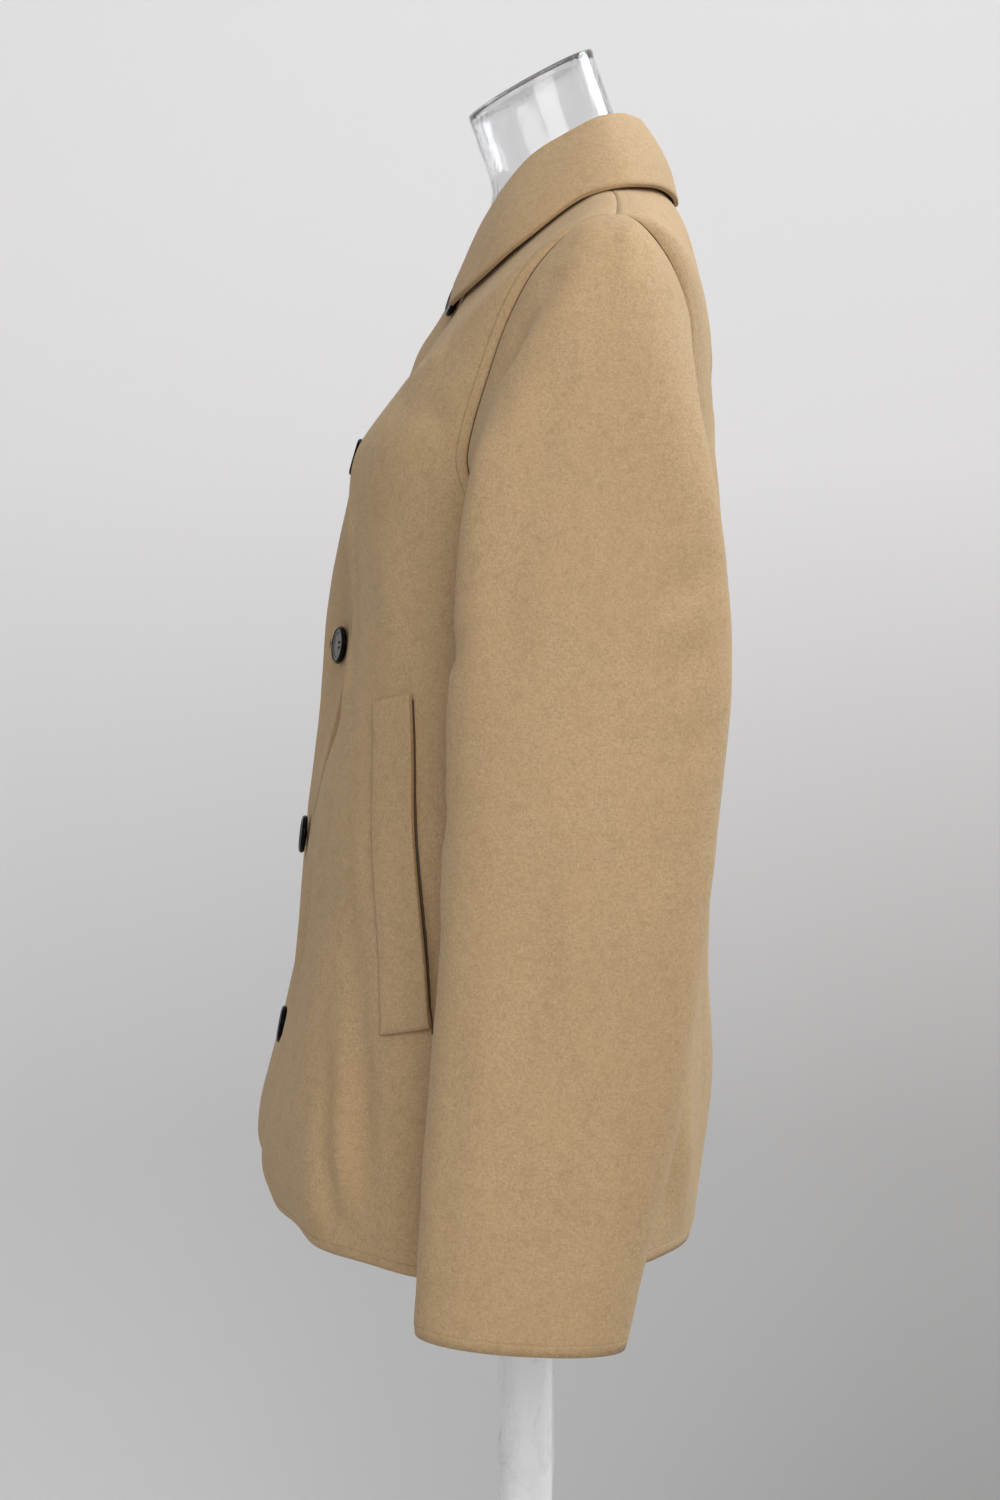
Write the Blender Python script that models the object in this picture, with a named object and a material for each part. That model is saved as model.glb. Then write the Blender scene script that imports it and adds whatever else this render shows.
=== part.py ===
"""A short single-breasted jacket in thick double-faced cloth, worn by a limbless dress form.

Metres. +Z is up, -Y is the front, +X is the wearer's left. The origin is on the floor,
under the middle of the round base.
"""
import bpy
import bmesh
import numpy as np
from collections import namedtuple
from math import cos, pi, radians, sin
from mathutils import Matrix, Vector

# ---------------------------------------------------------------- driving sizes
CLOTH = 0.0026             # thickness of the double-faced cloth
SEAM_GAP = 0.0003          # clear distance between neighbouring pieces
CLOSURE_SHIFT = 0.015      # the closure's line hangs this far to the wearer's left
FRONT_LAP = 0.019          # each front runs this far past the closure's line
LAP_GAP = 0.0008           # space between the two lapped fronts
LAP_CLEAR, LAP_BLEND = 0.004, 0.030   # the under front steps back past the lap, over this
FORM_GAP = 0.0010          # space between the form and the cloth that rests on it

BUTTON_RADIUS = 0.0117
BUTTON_THICK = 0.0038
SHANK_RADIUS = 0.0024
SHANK_LENGTH = 0.0009      # thread shank that holds a button off the cloth
BUTTON_HEIGHTS = [1.3530, 1.2570, 1.1420, 1.0245, 0.9050]
BUTTON_STEPS = 16

WELT_WIDTH = 0.034
WELT_RISE = 0.007          # the free edge of a welt sits this much higher than its seam
WELT_TOP = (1.1165, 46.5)  # height, and angle from the front, of the seam edge's ends
WELT_BOTTOM = (0.9300, 61.5)
WELT_OFF = 0.0008          # clear distance below a welt

POLE_RADIUS = 0.0160
BASE_RADIUS = 0.180
BASE_THICK = 0.012
SOCKET_RADIUS = 0.026
SOCKET_HEIGHT = 0.045

NECK_RADIUS = 0.0428
NECK_BASE = (0.0, 0.0240, 1.4200)
NECK_LEAN = 19.0           # degrees that the neck leans forward
NECK_LENGTH = 0.0690       # along its axis, to the middle of the cap
NECK_CAP_TILT = 9.5        # degrees that the cap is cut away from square
FORM_SIDES = 36

# ---------------------------------------------------------------- body of the jacket
# One row for each ring of the body, from the hem up to the neckline. A ring is a
# superellipse seen from above: front_y and back_y are its ends, front_z, side_z and
# back_z its heights there, and the powers say how square its front and back halves are.
# turn is the slope of the closure, which swings a little to the wearer's left, and hollow
# is how far the cloth sinks in along it.
BodyRow = namedtuple("BodyRow", "name half_width front_y back_y front_z side_z back_z "
                                "front_power back_power turn hollow")
BODY_ROWS = [
    BodyRow("hem",        0.236, -0.1600, 0.1045, 0.806, 0.797, 0.791, 2.10, 2.25, 0.18, 0.0000),
    BodyRow("hem_flare",  0.234, -0.1685, 0.1085, 0.832, 0.826, 0.821, 2.10, 2.25, 0.18, 0.0000),
    BodyRow("low_hip",    0.230, -0.1655, 0.1105, 0.860, 0.860, 0.858, 2.10, 2.30, 0.16, 0.0000),
    BodyRow("hip",        0.222, -0.1545, 0.1110, 0.905, 0.905, 0.905, 2.12, 2.35, 0.06, 0.0032),
    BodyRow("high_hip",   0.212, -0.1435, 0.1125, 0.970, 0.970, 0.970, 2.10, 2.45, 0.06, 0.0006),
    BodyRow("waist",      0.202, -0.1360, 0.1145, 1.040, 1.040, 1.040, 2.15, 2.55, 0.13, 0.0000),
    BodyRow("under_bust", 0.194, -0.1245, 0.1160, 1.105, 1.105, 1.105, 2.20, 2.70, 0.36, 0.0000),
    BodyRow("bust",       0.187, -0.1172, 0.1155, 1.168, 1.168, 1.168, 2.30, 3.10, 0.48, 0.0000),
    BodyRow("underarm",   0.184, -0.1125, 0.1135, 1.222, 1.206, 1.226, 2.40, 3.60, 0.20, 0.0020),
    BodyRow("chest",      0.182, -0.1060, 0.1112, 1.262, 1.270, 1.284, 2.60, 4.00, 0.00, 0.0050),
    BodyRow("armhole",    0.190, -0.0835, 0.1090, 1.292, 1.336, 1.322, 2.45, 3.90, 0.02, 0.0020),
    BodyRow("tip",        0.196, -0.0690, 0.1062, 1.308, 1.386, 1.342, 2.30, 3.50, 0.14, 0.0000),
    BodyRow("shoulder",   0.178, -0.0605, 0.1035, 1.322, 1.3965, 1.359, 2.20, 3.10, 0.20, 0.0000),
    BodyRow("yoke",       0.150, -0.0525, 0.1000, 1.336, 1.4045, 1.381, 2.10, 2.70, 0.22, 0.0000),
    BodyRow("slope",      0.118, -0.0465, 0.0915, 1.351, 1.4125, 1.4055, 2.05, 2.40, 0.18, 0.0000),
    BodyRow("neckline",   0.083, -0.0395, 0.0730, 1.367, 1.4215, 1.4285, 2.00, 2.15, 0.10, 0.0000),
]
ROW_OF = {row.name: index for index, row in enumerate(BODY_ROWS)}
NECK_ROW = ROW_OF["neckline"]
BODY_TABLE = np.array([row[1:] for row in BODY_ROWS])
SHOULDER_SHIFT = 0.024      # the shoulder ridge lies this far behind the middle of a ring
SHOULDER_ROUND = 0.16       # how softly the shoulder ridge rounds over to the front
CLOSURE_REACH = 0.075       # half-width of the strip that turns with the closure

# Soft upright folds: angle from the centre front, half-width in degrees, depth, and the
# row where each one has faded out.
Fold = namedtuple("Fold", "angle width depth fade_row")
BODY_FOLDS = [
    Fold(31, 11, -0.0035, "high_hip"), Fold(47, 10, 0.0035, "waist"),
    Fold(63, 10, -0.0025, "high_hip"), Fold(-26, 11, 0.0030, "high_hip"),
    Fold(-42, 10, -0.0035, "waist"), Fold(-58, 11, 0.0030, "waist"),
    Fold(122, 12, -0.0025, "high_hip"), Fold(152, 13, 0.0025, "waist"),
    Fold(-120, 12, 0.0020, "high_hip"), Fold(-149, 13, -0.0025, "waist"),
]

# ---------------------------------------------------------------- armhole
# One row for each mark round an armhole: the ring where it lies, and its angle from the
# centre front on the front and on the back branch.
ArmMark = namedtuple("ArmMark", "row front_angle back_angle")
ARM_MARKS = [
    ArmMark(8.00, 95.0, 95.0),
    ArmMark(8.08, 87.0, 104.0),
    ArmMark(8.35, 78.5, 118.0),
    ArmMark(8.75, 73.0, 126.0),
    ArmMark(9.30, 72.0, 129.5),
    ArmMark(10.00, 69.8, 128.0),
    ArmMark(10.30, 70.3, 123.5),
    ArmMark(10.60, 72.0, 115.5),
    ArmMark(10.85, 75.0, 106.0),
    ArmMark(11.10, 80.5, 98.0),
    ArmMark(11.30, 85.5, 93.8),
    ArmMark(11.50, 90.5, 90.5),
]
ARM_TABLE = np.array(ARM_MARKS)
SIDE_ANGLE, SHOULDER_ANGLE = 95.0, 90.5

# ---------------------------------------------------------------- sleeves
# One row for each ring of the left sleeve below its cap: the middle of the ring, its
# half-sizes front to back and side to side, its heights at the inner and outer side, and
# how far its front edge lies above the middle and its back edge below it.
SleeveRow = namedtuple("SleeveRow", "name x y half_depth half_width inner_z outer_z tilt")
SLEEVE_ROWS = [
    SleeveRow("upper_arm", 0.2290, 0.0338, 0.0735, 0.0335, 1.174, 1.236, 0.0),
    SleeveRow("bicep",     0.2370, 0.0338, 0.0765, 0.0370, 1.128, 1.166, 0.0),
    SleeveRow("elbow",     0.2500, 0.0288, 0.0750, 0.0390, 1.050, 1.078, 0.0),
    SleeveRow("forearm",   0.2635, 0.0215, 0.0722, 0.0395, 0.972, 0.990, 0.0),
    SleeveRow("low_arm",   0.2760, 0.0113, 0.0690, 0.0390, 0.888, 0.900, 0.001),
    SleeveRow("wrist",     0.2850, -0.0005, 0.0628, 0.0380, 0.822, 0.828, 0.003),
    SleeveRow("cuff",      0.2885, -0.0060, 0.0580, 0.0370, 0.779, 0.780, 0.004),
]
CAP_STEPS = [0.0, 0.12, 0.28, 0.48, 0.72]   # shares of the way down the sleeve cap
CAP_FULLNESS = 0.95         # how strongly the cap rounds over before it hangs
CAP_TUCK = 0.30             # how much the cap's edge follows the body's surface

# ---------------------------------------------------------------- collar
# One row for each section of the left half of the collar, from the front end to the
# centre back: the neckline angle of its seam, the top of its roll, the ring and angle of
# the body under its outer edge, and how far that edge stands off the body.
CollarRow = namedtuple("CollarRow", "name seam_angle roll_x roll_y roll_z "
                                    "edge_row edge_angle edge_lift")
COLLAR_ROWS = [
    CollarRow("front_end", 9.0,   0.0105, -0.0385, 1.3775, 13.90, 17.0, 0.0108),
    CollarRow("front",     26.0,  0.0300, -0.0290, 1.3950, 13.35, 40.0, 0.0098),
    CollarRow("side",      58.0,  0.0580, -0.0030, 1.4335, 13.25, 57.0, 0.0062),
    CollarRow("shoulder",  92.0,  0.0640, 0.0340,  1.4565, 13.75, 87.0, 0.0042),
    CollarRow("side_back", 135.0, 0.0460, 0.0540,  1.4630, 14.25, 130.0, 0.0046),
    CollarRow("back",      180.0, 0.0,    0.0670,  1.4645, 14.15, 180.0, 0.0042),
]
COLLAR_TABLE = np.array([row[1:] for row in COLLAR_ROWS])
ROLL_HALF = 0.0048          # half the outer width of the collar's roll
COLLAR_PUFF = 0.0032        # how far the fall bows out between its roll and its edge
COLLAR_HALF_COLUMNS = 15


def hermite(table, position):
    """Smooth values between the rows of a table, for positions counted in rows."""
    table = np.asarray(table, float)
    position = np.clip(np.asarray(position, float), 0.0, len(table) - 1.0)
    low = np.minimum(position.astype(int), len(table) - 2)
    slope = np.gradient(table, axis=0)
    mix = (position - low)[..., None]
    start, end = table[low], table[low + 1]
    return (start * (1 + 2 * mix) * (1 - mix) ** 2 + end * mix ** 2 * (3 - 2 * mix)
            + slope[low] * mix * (1 - mix) ** 2 - slope[low + 1] * mix ** 2 * (1 - mix))


def bell(value, reach):
    """A soft bump: 1 in its middle, 0 beyond its reach."""
    return np.where(np.abs(value) < reach, 0.5 + 0.5 * np.cos(pi * value / reach), 0.0)


def smooth_step(value):
    value = np.clip(value, 0.0, 1.0)
    return value * value * (3.0 - 2.0 * value)


def unit(vectors):
    length = np.linalg.norm(vectors, axis=-1, keepdims=True)
    return vectors / np.maximum(length, 1e-12)


# ---------------------------------------------------------------- the body's surface
def body_point(row, degrees):
    """Point of the jacket's outer surface, by ring and by angle from the centre front."""
    row, degrees = np.broadcast_arrays(np.asarray(row, float), np.asarray(degrees, float))
    (width, front_y, back_y, front_z, side_z, back_z,
     front_power, back_power, turn, hollow) = np.moveaxis(hermite(BODY_TABLE, row), -1, 0)
    across, along = np.sin(np.radians(degrees)), -np.cos(np.radians(degrees))
    in_front = along < 0
    power = np.where(in_front, front_power, back_power)
    shift = SHOULDER_SHIFT * smooth_step((row - 7.0) / 4.5)
    middle_y = 0.5 * (front_y + back_y) + shift
    x = width * np.sign(across) * np.abs(across) ** (2 / power)
    share = np.abs(along) ** (2 / power)
    y = middle_y + (np.where(in_front, front_y, back_y) - middle_y) * share
    end_z = np.where(in_front, front_z, back_z)
    sloped = np.hypot(along, SHOULDER_ROUND) - SHOULDER_ROUND
    slope_share = sloped / (np.hypot(1.0, SHOULDER_ROUND) - SHOULDER_ROUND)
    z = side_z + (end_z - side_z) * np.where(in_front, slope_share, np.abs(along) ** 1.7)
    for fold in BODY_FOLDS:
        fade_row = ROW_OF[fold.fade_row]
        fade = np.clip((fade_row - row) / fade_row, 0.0, 1.0) ** 1.3
        lift = fold.depth * fade * bell(degrees - fold.angle, fold.width)
        x = x + lift * across
        y = y + lift * along
    y = y + turn * x * bell(x, CLOSURE_REACH) * in_front
    y = y + hollow * bell(x - CLOSURE_SHIFT, CLOSURE_REACH) * in_front
    return np.stack([x, y, z], -1)


def body_normal(row, degrees):
    """Outward normal of the jacket's outer surface."""
    row, degrees = np.broadcast_arrays(np.asarray(row, float), np.asarray(degrees, float))
    step_row, step_turn = 0.04, 0.6
    low = np.maximum(row - step_row, 0.0)
    high = np.minimum(row + step_row, NECK_ROW)
    upward = body_point(high, degrees) - body_point(low, degrees)
    around = body_point(row, degrees + step_turn) - body_point(row, degrees - step_turn)
    return unit(np.cross(around, upward))


def row_at_height(height, degrees=0.0):
    """Ring position where the surface reaches a height, at one angle."""
    rows = np.linspace(0.0, NECK_ROW, 901)
    return float(np.interp(height, body_point(rows, degrees)[:, 2], rows))


def closure_angle(row, past):
    """Angle of the point that lies a distance past the closure's line, on the front."""
    width, power = hermite(BODY_TABLE, row)[..., 0], hermite(BODY_TABLE, row)[..., 6]
    x = CLOSURE_SHIFT + past
    return np.sign(x) * np.degrees(np.arcsin((np.abs(x) / width) ** (power / 2)))


def side_edge_angle(row, column):
    """Angle of a panel's side: side seam, armhole branch, then shoulder seam."""
    inside = np.interp(row, ARM_TABLE[:, 0], ARM_TABLE[:, column])
    below, above = row <= ARM_TABLE[0, 0], row >= ARM_TABLE[-1, 0]
    return np.where(below, SIDE_ANGLE, np.where(above, SHOULDER_ANGLE, inside))


# ---------------------------------------------------------------- meshes
def quad_rows(rows, columns, start, closed):
    """Quads of a grid of points that is stored row by row."""
    quads = []
    for j in range(rows - 1):
        for i in range(columns if closed else columns - 1):
            k = (i + 1) % columns
            near, far = start + j * columns, start + (j + 1) * columns
            quads.append((near + i, near + k, far + k, far + i))
    return quads


def grid_rim(rows, columns, closed):
    """Loops of point numbers round the open edges of a grid."""
    first = list(range(columns))
    last = [(rows - 1) * columns + i for i in first]
    if closed:
        return [first + [0], last + [last[0]]]
    right = [(j + 1) * columns - 1 for j in range(1, rows)]
    left = [j * columns for j in range(rows - 2, 0, -1)]
    return [first + right + last[-2::-1] + left + [0]]


def make_object(name, mesh, material, sharp_angle=35.0):
    mesh.materials.append(material)
    mesh.shade_smooth()
    mesh.set_sharp_from_angle(angle=radians(sharp_angle))
    made = bpy.data.objects.new(name, mesh)
    bpy.context.collection.objects.link(made)
    return made


def finish_bmesh(name, form, material, sharp_angle=35.0):
    """Turn a closed bmesh into an object whose faces point outwards."""
    bmesh.ops.recalc_face_normals(form, faces=form.faces)
    bmesh.ops.triangulate(form, faces=form.faces, quad_method="LONG_EDGE")
    mesh = bpy.data.meshes.new(name)
    form.to_mesh(mesh)
    form.free()
    return make_object(name, mesh, material, sharp_angle)


def make_wall(name, outer, inner, material, closed=False):
    """A cloth wall between two grids of points with the same rows and columns."""
    rows, columns = outer.shape[:2]
    count = rows * columns
    form = bmesh.new()
    points = [form.verts.new(point) for grid in (outer, inner) for point in grid.reshape(-1, 3)]
    quads = quad_rows(rows, columns, 0, closed)
    quads += [quad[::-1] for quad in quad_rows(rows, columns, count, closed)]
    for loop in grid_rim(rows, columns, closed):
        quads += [(a, a + count, b + count, b) for a, b in zip(loop, loop[1:])]
    for quad in quads:
        form.faces.new([points[number] for number in quad])
    return finish_bmesh(name, form, material)


def make_material(name, color, roughness, metallic=0.0, alpha=1.0):
    material = bpy.data.materials.new(name)
    material.use_nodes = True
    shader = material.node_tree.nodes["Principled BSDF"]
    shader.inputs["Base Color"].default_value = (*color, 1.0)
    shader.inputs["Roughness"].default_value = roughness
    shader.inputs["Metallic"].default_value = metallic
    shader.inputs["Alpha"].default_value = alpha
    return material


# ---------------------------------------------------------------- fronts and back
PANEL_ROWS = np.array([0.0, 0.45, 1.0, 2.0, 3.0, 4.0, 5.0, 6.0, 6.6, 7.2, 7.7, 8.0, 8.08, 8.2, 8.35,
                       8.55, 8.75, 9.0, 9.3, 9.65, 10.0, 10.3, 10.6, 10.85, 11.1, 11.3,
                       11.5, 12.0, 12.6, 13.3, 14.1, 15.0])
LAP_COLUMNS = np.array([-1.0, -0.5, 0.0, 0.5, 1.0]) * FRONT_LAP
FRONT_COLUMNS, BACK_COLUMNS = 17, 27          # columns past the lap, and of the back
EDGE_PULL = 1.7             # how far the armhole's shape reaches into a panel's columns


def trim_edge(grid, column, neighbour):
    """Draw one edge column of a grid back by half a seam gap."""
    grid[:, column] += unit(grid[:, neighbour] - grid[:, column]) * SEAM_GAP / 2


def make_front(name, side, under, material):
    """A front panel; side is +1 for the wearer's left, and under is the lower layer."""
    lapped = side * closure_angle(PANEL_ROWS[:, None], side * LAP_COLUMNS)
    seam = side_edge_angle(PANEL_ROWS, 1)[:, None]
    share = np.linspace(0.0, 1.0, FRONT_COLUMNS)[1:]
    last = lapped[:, -1:]
    plain = last + (SIDE_ANGLE - last) * share + (seam - SIDE_ANGLE) * share ** EDGE_PULL
    angles = side * np.concatenate([lapped, plain], axis=1)
    rows = np.broadcast_to(PANEL_ROWS[:, None], angles.shape)
    outer, normal = body_point(rows, angles), body_normal(rows, angles)
    if under:
        past_lap = side * (outer[..., 0] - CLOSURE_SHIFT) - FRONT_LAP - LAP_CLEAR
        step_back = (CLOTH + LAP_GAP) * (1.0 - smooth_step(past_lap / LAP_BLEND))
        outer = outer - normal * step_back[..., None]
    trim_edge(outer, -1, -2)
    return make_wall(name, outer, outer - normal * CLOTH, material)


def make_back(material):
    seam = side_edge_angle(PANEL_ROWS, 2)
    share = np.linspace(-1.0, 1.0, BACK_COLUMNS)
    straight = 180.0 + (180.0 - SIDE_ANGLE) * share
    angles = straight + (SIDE_ANGLE - seam)[:, None] * np.sign(share) * np.abs(share) ** EDGE_PULL
    rows = np.broadcast_to(PANEL_ROWS[:, None], angles.shape)
    outer, normal = body_point(rows, angles), body_normal(rows, angles)
    trim_edge(outer, 0, 1)
    trim_edge(outer, -1, -2)
    return make_wall("back", outer, outer - normal * CLOTH, material)


# ---------------------------------------------------------------- sleeves
def armhole_ring():
    """Round the left armhole from its top by the front: points, directions into it, shares.

    The points are the panels' own edge points, so that the sleeve meets them all round.
    """
    rows = PANEL_ROWS[(PANEL_ROWS >= ARM_TABLE[0, 0]) & (PANEL_ROWS <= ARM_TABLE[-1, 0])]
    branches = []
    for column, hand in ((1, 1.0), (2, -1.0)):
        angles = side_edge_angle(rows, column)
        point, normal = body_point(rows, angles), body_normal(rows, angles)
        into = unit(np.cross(unit(np.gradient(point, axis=0)), normal)) * hand
        branches.append((point, into))
    (front, front_into), (back, back_into) = branches
    ring = np.concatenate([front[::-1], back[1:-1]])
    into = np.concatenate([front_into[::-1], back_into[1:-1]])
    last = len(rows) - 1
    into[0] = unit(into[1] + into[-1])
    into[last] = unit(into[last - 1] + into[last + 1])
    steps = np.linalg.norm(np.diff(np.concatenate([ring, ring[:1]]), axis=0), axis=1)
    front_share = np.cumsum(steps[:last]) / np.sum(steps[:last])
    back_share = np.cumsum(steps[last:]) / np.sum(steps[last:])
    share = np.concatenate([[0.0], front_share, 1.0 + back_share[:-1]]) / 2
    return ring, into, share


def sleeve_ring(values, share):
    """One oval ring of the left sleeve, from its outer side round by the front."""
    x, y, half_depth, half_width, inner_z, outer_z, tilt = values
    turn = 2 * pi * share
    out, front = np.cos(turn), np.sin(turn)
    out_share = np.sign(out) * np.abs(out) ** 0.92
    front_share = np.sign(front) * np.abs(front) ** 0.92
    height = inner_z + (outer_z - inner_z) * (0.5 + 0.5 * out) + tilt * front
    return np.stack([x + half_width * out_share, y - half_depth * front_share, height], -1)


def sleeve_grid():
    """Outer points of the left sleeve, ring by ring from the armhole to the cuff."""
    edge, into, share = armhole_ring()
    start = edge + into * SEAM_GAP
    table = np.array([row[1:] for row in SLEEVE_ROWS])
    first = sleeve_ring(table[0], share)
    outward = unit(np.array([1.0, 0.0, -0.10]) + CAP_TUCK * into)
    downward = unit(sleeve_ring(table[1], share) - first)
    reach = np.linalg.norm(first - start, axis=1)[:, None] * CAP_FULLNESS
    rings = []
    for step in CAP_STEPS:
        rings.append(start * (1 + 2 * step) * (1 - step) ** 2 + first * step ** 2 * (3 - 2 * step)
                     + outward * reach * step * (1 - step) ** 2
                     - downward * reach * step ** 2 * (1 - step))
    for position in range(len(table)):
        rings.append(sleeve_ring(table[position], share))
    return np.array(rings)


def tube_normals(grid):
    """Outward normals of a tube of rings."""
    around = np.roll(grid, -1, 1) - np.roll(grid, 1, 1)
    along = np.gradient(grid, axis=0)
    normal = unit(np.cross(around, along))
    outward = grid - grid.mean(axis=1, keepdims=True)
    if np.sum(normal * outward) < 0:
        normal = -normal
    return normal


def make_sleeve(name, side, material):
    outer = sleeve_grid()
    inner = outer - tube_normals(outer) * CLOTH
    mirror = np.array([side, 1.0, 1.0])
    return make_wall(name, outer * mirror, inner * mirror, material, closed=True)


# ---------------------------------------------------------------- collar
def collar_section(values):
    """Visible side of one section of the left half: stand, roll and fall."""
    seam_angle, roll_x, roll_y, roll_z, edge_row, edge_angle, edge_lift = values
    seam = body_point(NECK_ROW, seam_angle)
    climb = unit(seam - body_point(NECK_ROW - 0.1, seam_angle))
    roll = np.array([roll_x, roll_y, roll_z])
    edge = body_point(edge_row, edge_angle) + body_normal(edge_row, edge_angle) * edge_lift
    outward = unit((seam - np.array(NECK_BASE)) * np.array([1.0, 1.0, 0.0]))
    up = np.array([0.0, 0.0, 1.0])
    foot = seam + climb * SEAM_GAP * 2 - outward * CLOTH
    inner = roll - outward * ROLL_HALF - up * ROLL_HALF
    outer = roll + outward * ROLL_HALF - up * ROLL_HALF * 0.8
    fall = edge - outer
    puff = unit(np.cross(np.cross(up, fall), fall)) * -COLLAR_PUFF
    return [foot, foot + (inner - foot) * 0.5, inner, roll, outer,
            outer + fall * 0.33 + puff, outer + fall * 0.66 + puff, edge]


def make_collar(material):
    stations = np.linspace(0.0, len(COLLAR_ROWS) - 1, COLLAR_HALF_COLUMNS)
    left = [collar_section(hermite(COLLAR_TABLE, station)) for station in stations]
    left = np.array(left).transpose(1, 0, 2)
    right = left[:, -2::-1] * np.array([-1.0, 1.0, 1.0])
    visible = np.concatenate([left, right], axis=1)
    around, down = np.gradient(visible, axis=1), np.gradient(visible, axis=0)
    normal = unit(np.cross(down, around))
    return make_wall("collar", visible, visible - normal * CLOTH, material)


# ---------------------------------------------------------------- pocket welts
def make_welt(name, side, material):
    """A slanted welt that lies on the front's points, moved out."""
    along = np.linspace(0.0, 1.0, 10)
    across = np.linspace(0.0, 1.0, 5)
    height = WELT_BOTTOM[0] + (WELT_TOP[0] - WELT_BOTTOM[0]) * along
    seam_angle = WELT_BOTTOM[1] + (WELT_TOP[1] - WELT_BOTTOM[1]) * along
    rows, angles = np.zeros((10, 5)), np.zeros((10, 5))
    for j in range(10):
        row = row_at_height(height[j], seam_angle[j])
        per_degree = np.linalg.norm(body_point(row, seam_angle[j] + 6) - body_point(row, seam_angle[j])) / 6
        for i in range(5):
            angles[j, i] = seam_angle[j] + across[i] * WELT_WIDTH / per_degree
            rows[j, i] = row_at_height(height[j] + WELT_RISE * across[i], angles[j, i])
    angles = angles * side
    surface, normal = body_point(rows, angles), body_normal(rows, angles)
    inner = surface + normal * WELT_OFF
    return make_wall(name, inner + normal * CLOTH, inner, material)


# ---------------------------------------------------------------- buttons
def make_button(name, height, material):
    """A turned button with a raised rim and a dished middle, on its thread shank."""
    row = row_at_height(height)
    angle = closure_angle(row, 0.0)
    point, normal = body_point(row, angle), body_normal(row, angle)
    back = SHANK_LENGTH
    top = back + BUTTON_THICK
    profile = [(0.0, 0.0), (SHANK_RADIUS, 0.0), (SHANK_RADIUS, back),
               (BUTTON_RADIUS * 0.90, back), (BUTTON_RADIUS, back + BUTTON_THICK * 0.42),
               (BUTTON_RADIUS * 0.95, top - 0.0005), (BUTTON_RADIUS * 0.84, top),
               (BUTTON_RADIUS * 0.58, top - 0.0013), (0.0, top - 0.0015)]
    form = bmesh.new()
    points = [form.verts.new((radius, 0.0, z)) for radius, z in profile]
    edges = [form.edges.new(pair) for pair in zip(points, points[1:])]
    bmesh.ops.spin(form, geom=points + edges, cent=(0, 0, 0), axis=(0, 0, 1), angle=2 * pi,
                   steps=BUTTON_STEPS, use_merge=True)
    bmesh.ops.remove_doubles(form, verts=form.verts, dist=1e-6)
    place = Vector(normal).to_track_quat("Z", "Y").to_matrix().to_4x4()
    place.translation = Vector(point + normal * SEAM_GAP)
    bmesh.ops.transform(form, matrix=place, verts=form.verts)
    return finish_bmesh(name, form, material)


# ---------------------------------------------------------------- dress form and stand
# One row for each ring of the form, by the jacket's ring that it fills, and how far it
# lies inside the jacket's outer surface at the front, side and back.
REST = CLOTH + FORM_GAP
FormRow = namedtuple("FormRow", "row front side back")
FORM_ROWS = [
    FormRow(2.35, 0.058, 0.052, 0.024), FormRow(3.0, 0.050, 0.044, 0.018),
    FormRow(4.0, 0.050, 0.050, 0.026), FormRow(5.0, 0.046, 0.056, 0.034),
    FormRow(6.0, 0.030, 0.046, 0.024), FormRow(7.0, 0.014, 0.030, 0.012),
    FormRow(8.0, 0.010, 0.022, 0.008), FormRow(9.0, 0.010, 0.016, 0.007),
    FormRow(9.8, 0.010, 0.012, 0.006), FormRow(10.4, 0.010, 0.009, 0.005),
    FormRow(11.0, 0.010, 0.0055, 0.005), FormRow(11.4, 0.010, REST, 0.005),
    FormRow(11.8, 0.010, REST, 0.005), FormRow(12.3, 0.010, REST, 0.005),
    FormRow(13.0, 0.010, REST, 0.005), FormRow(13.8, 0.010, REST, 0.006),
    FormRow(14.5, 0.012, REST, 0.007), FormRow(15.0, 0.013, 0.005, 0.009),
]


def form_rings():
    """Rings of the form's torso and neck, from the bottom to the cap."""
    angles = np.linspace(0.0, 360.0, FORM_SIDES, endpoint=False)
    along = -np.cos(np.radians(angles))
    signed = (angles + 180.0) % 360.0 - 180.0
    rings = []
    for ring in FORM_ROWS:
        ends = np.where(along < 0, ring.front, ring.back)
        depth = ring.side + (ends - ring.side) * np.abs(along) ** 1.5
        rows = np.full(FORM_SIDES, ring.row)
        rings.append(body_point(rows, signed) - body_normal(rows, signed) * depth[:, None])
    rings[0][:, 2] = rings[0][:, 2].mean()
    lean = Matrix.Rotation(radians(NECK_LEAN), 3, "X")
    cap = Matrix.Rotation(radians(NECK_LEAN + NECK_CAP_TILT), 3, "X")
    circle = np.array([(sin(radians(a)), -cos(radians(a)), 0.0) for a in angles]) * NECK_RADIUS
    axis = np.array(lean @ Vector((0.0, 0.0, 1.0)))
    top = circle @ np.array(cap).T + np.array(NECK_BASE) + axis * NECK_LENGTH
    low = circle @ np.array(lean).T + np.array(NECK_BASE) + axis * 0.016
    last = rings[-1]
    for share in (0.3, 0.6):
        rings.append(last + (low - last) * smooth_step(share) + axis * 0.010 * (share - 1) * -share)
    rings.append(low)
    rings.append(low + (top - low) * 0.5)
    rings.append(top)
    return rings


def make_dress_form(material):
    rings = form_rings()
    form = bmesh.new()
    loops = [[form.verts.new(point) for point in ring] for ring in rings]
    for low, high in zip(loops, loops[1:]):
        for i in range(FORM_SIDES):
            k = (i + 1) % FORM_SIDES
            form.faces.new((low[i], low[k], high[k], high[i]))
    form.faces.new(loops[0][::-1])
    form.faces.new(loops[-1])
    return finish_bmesh("dress_form", form, material, 50.0)


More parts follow.
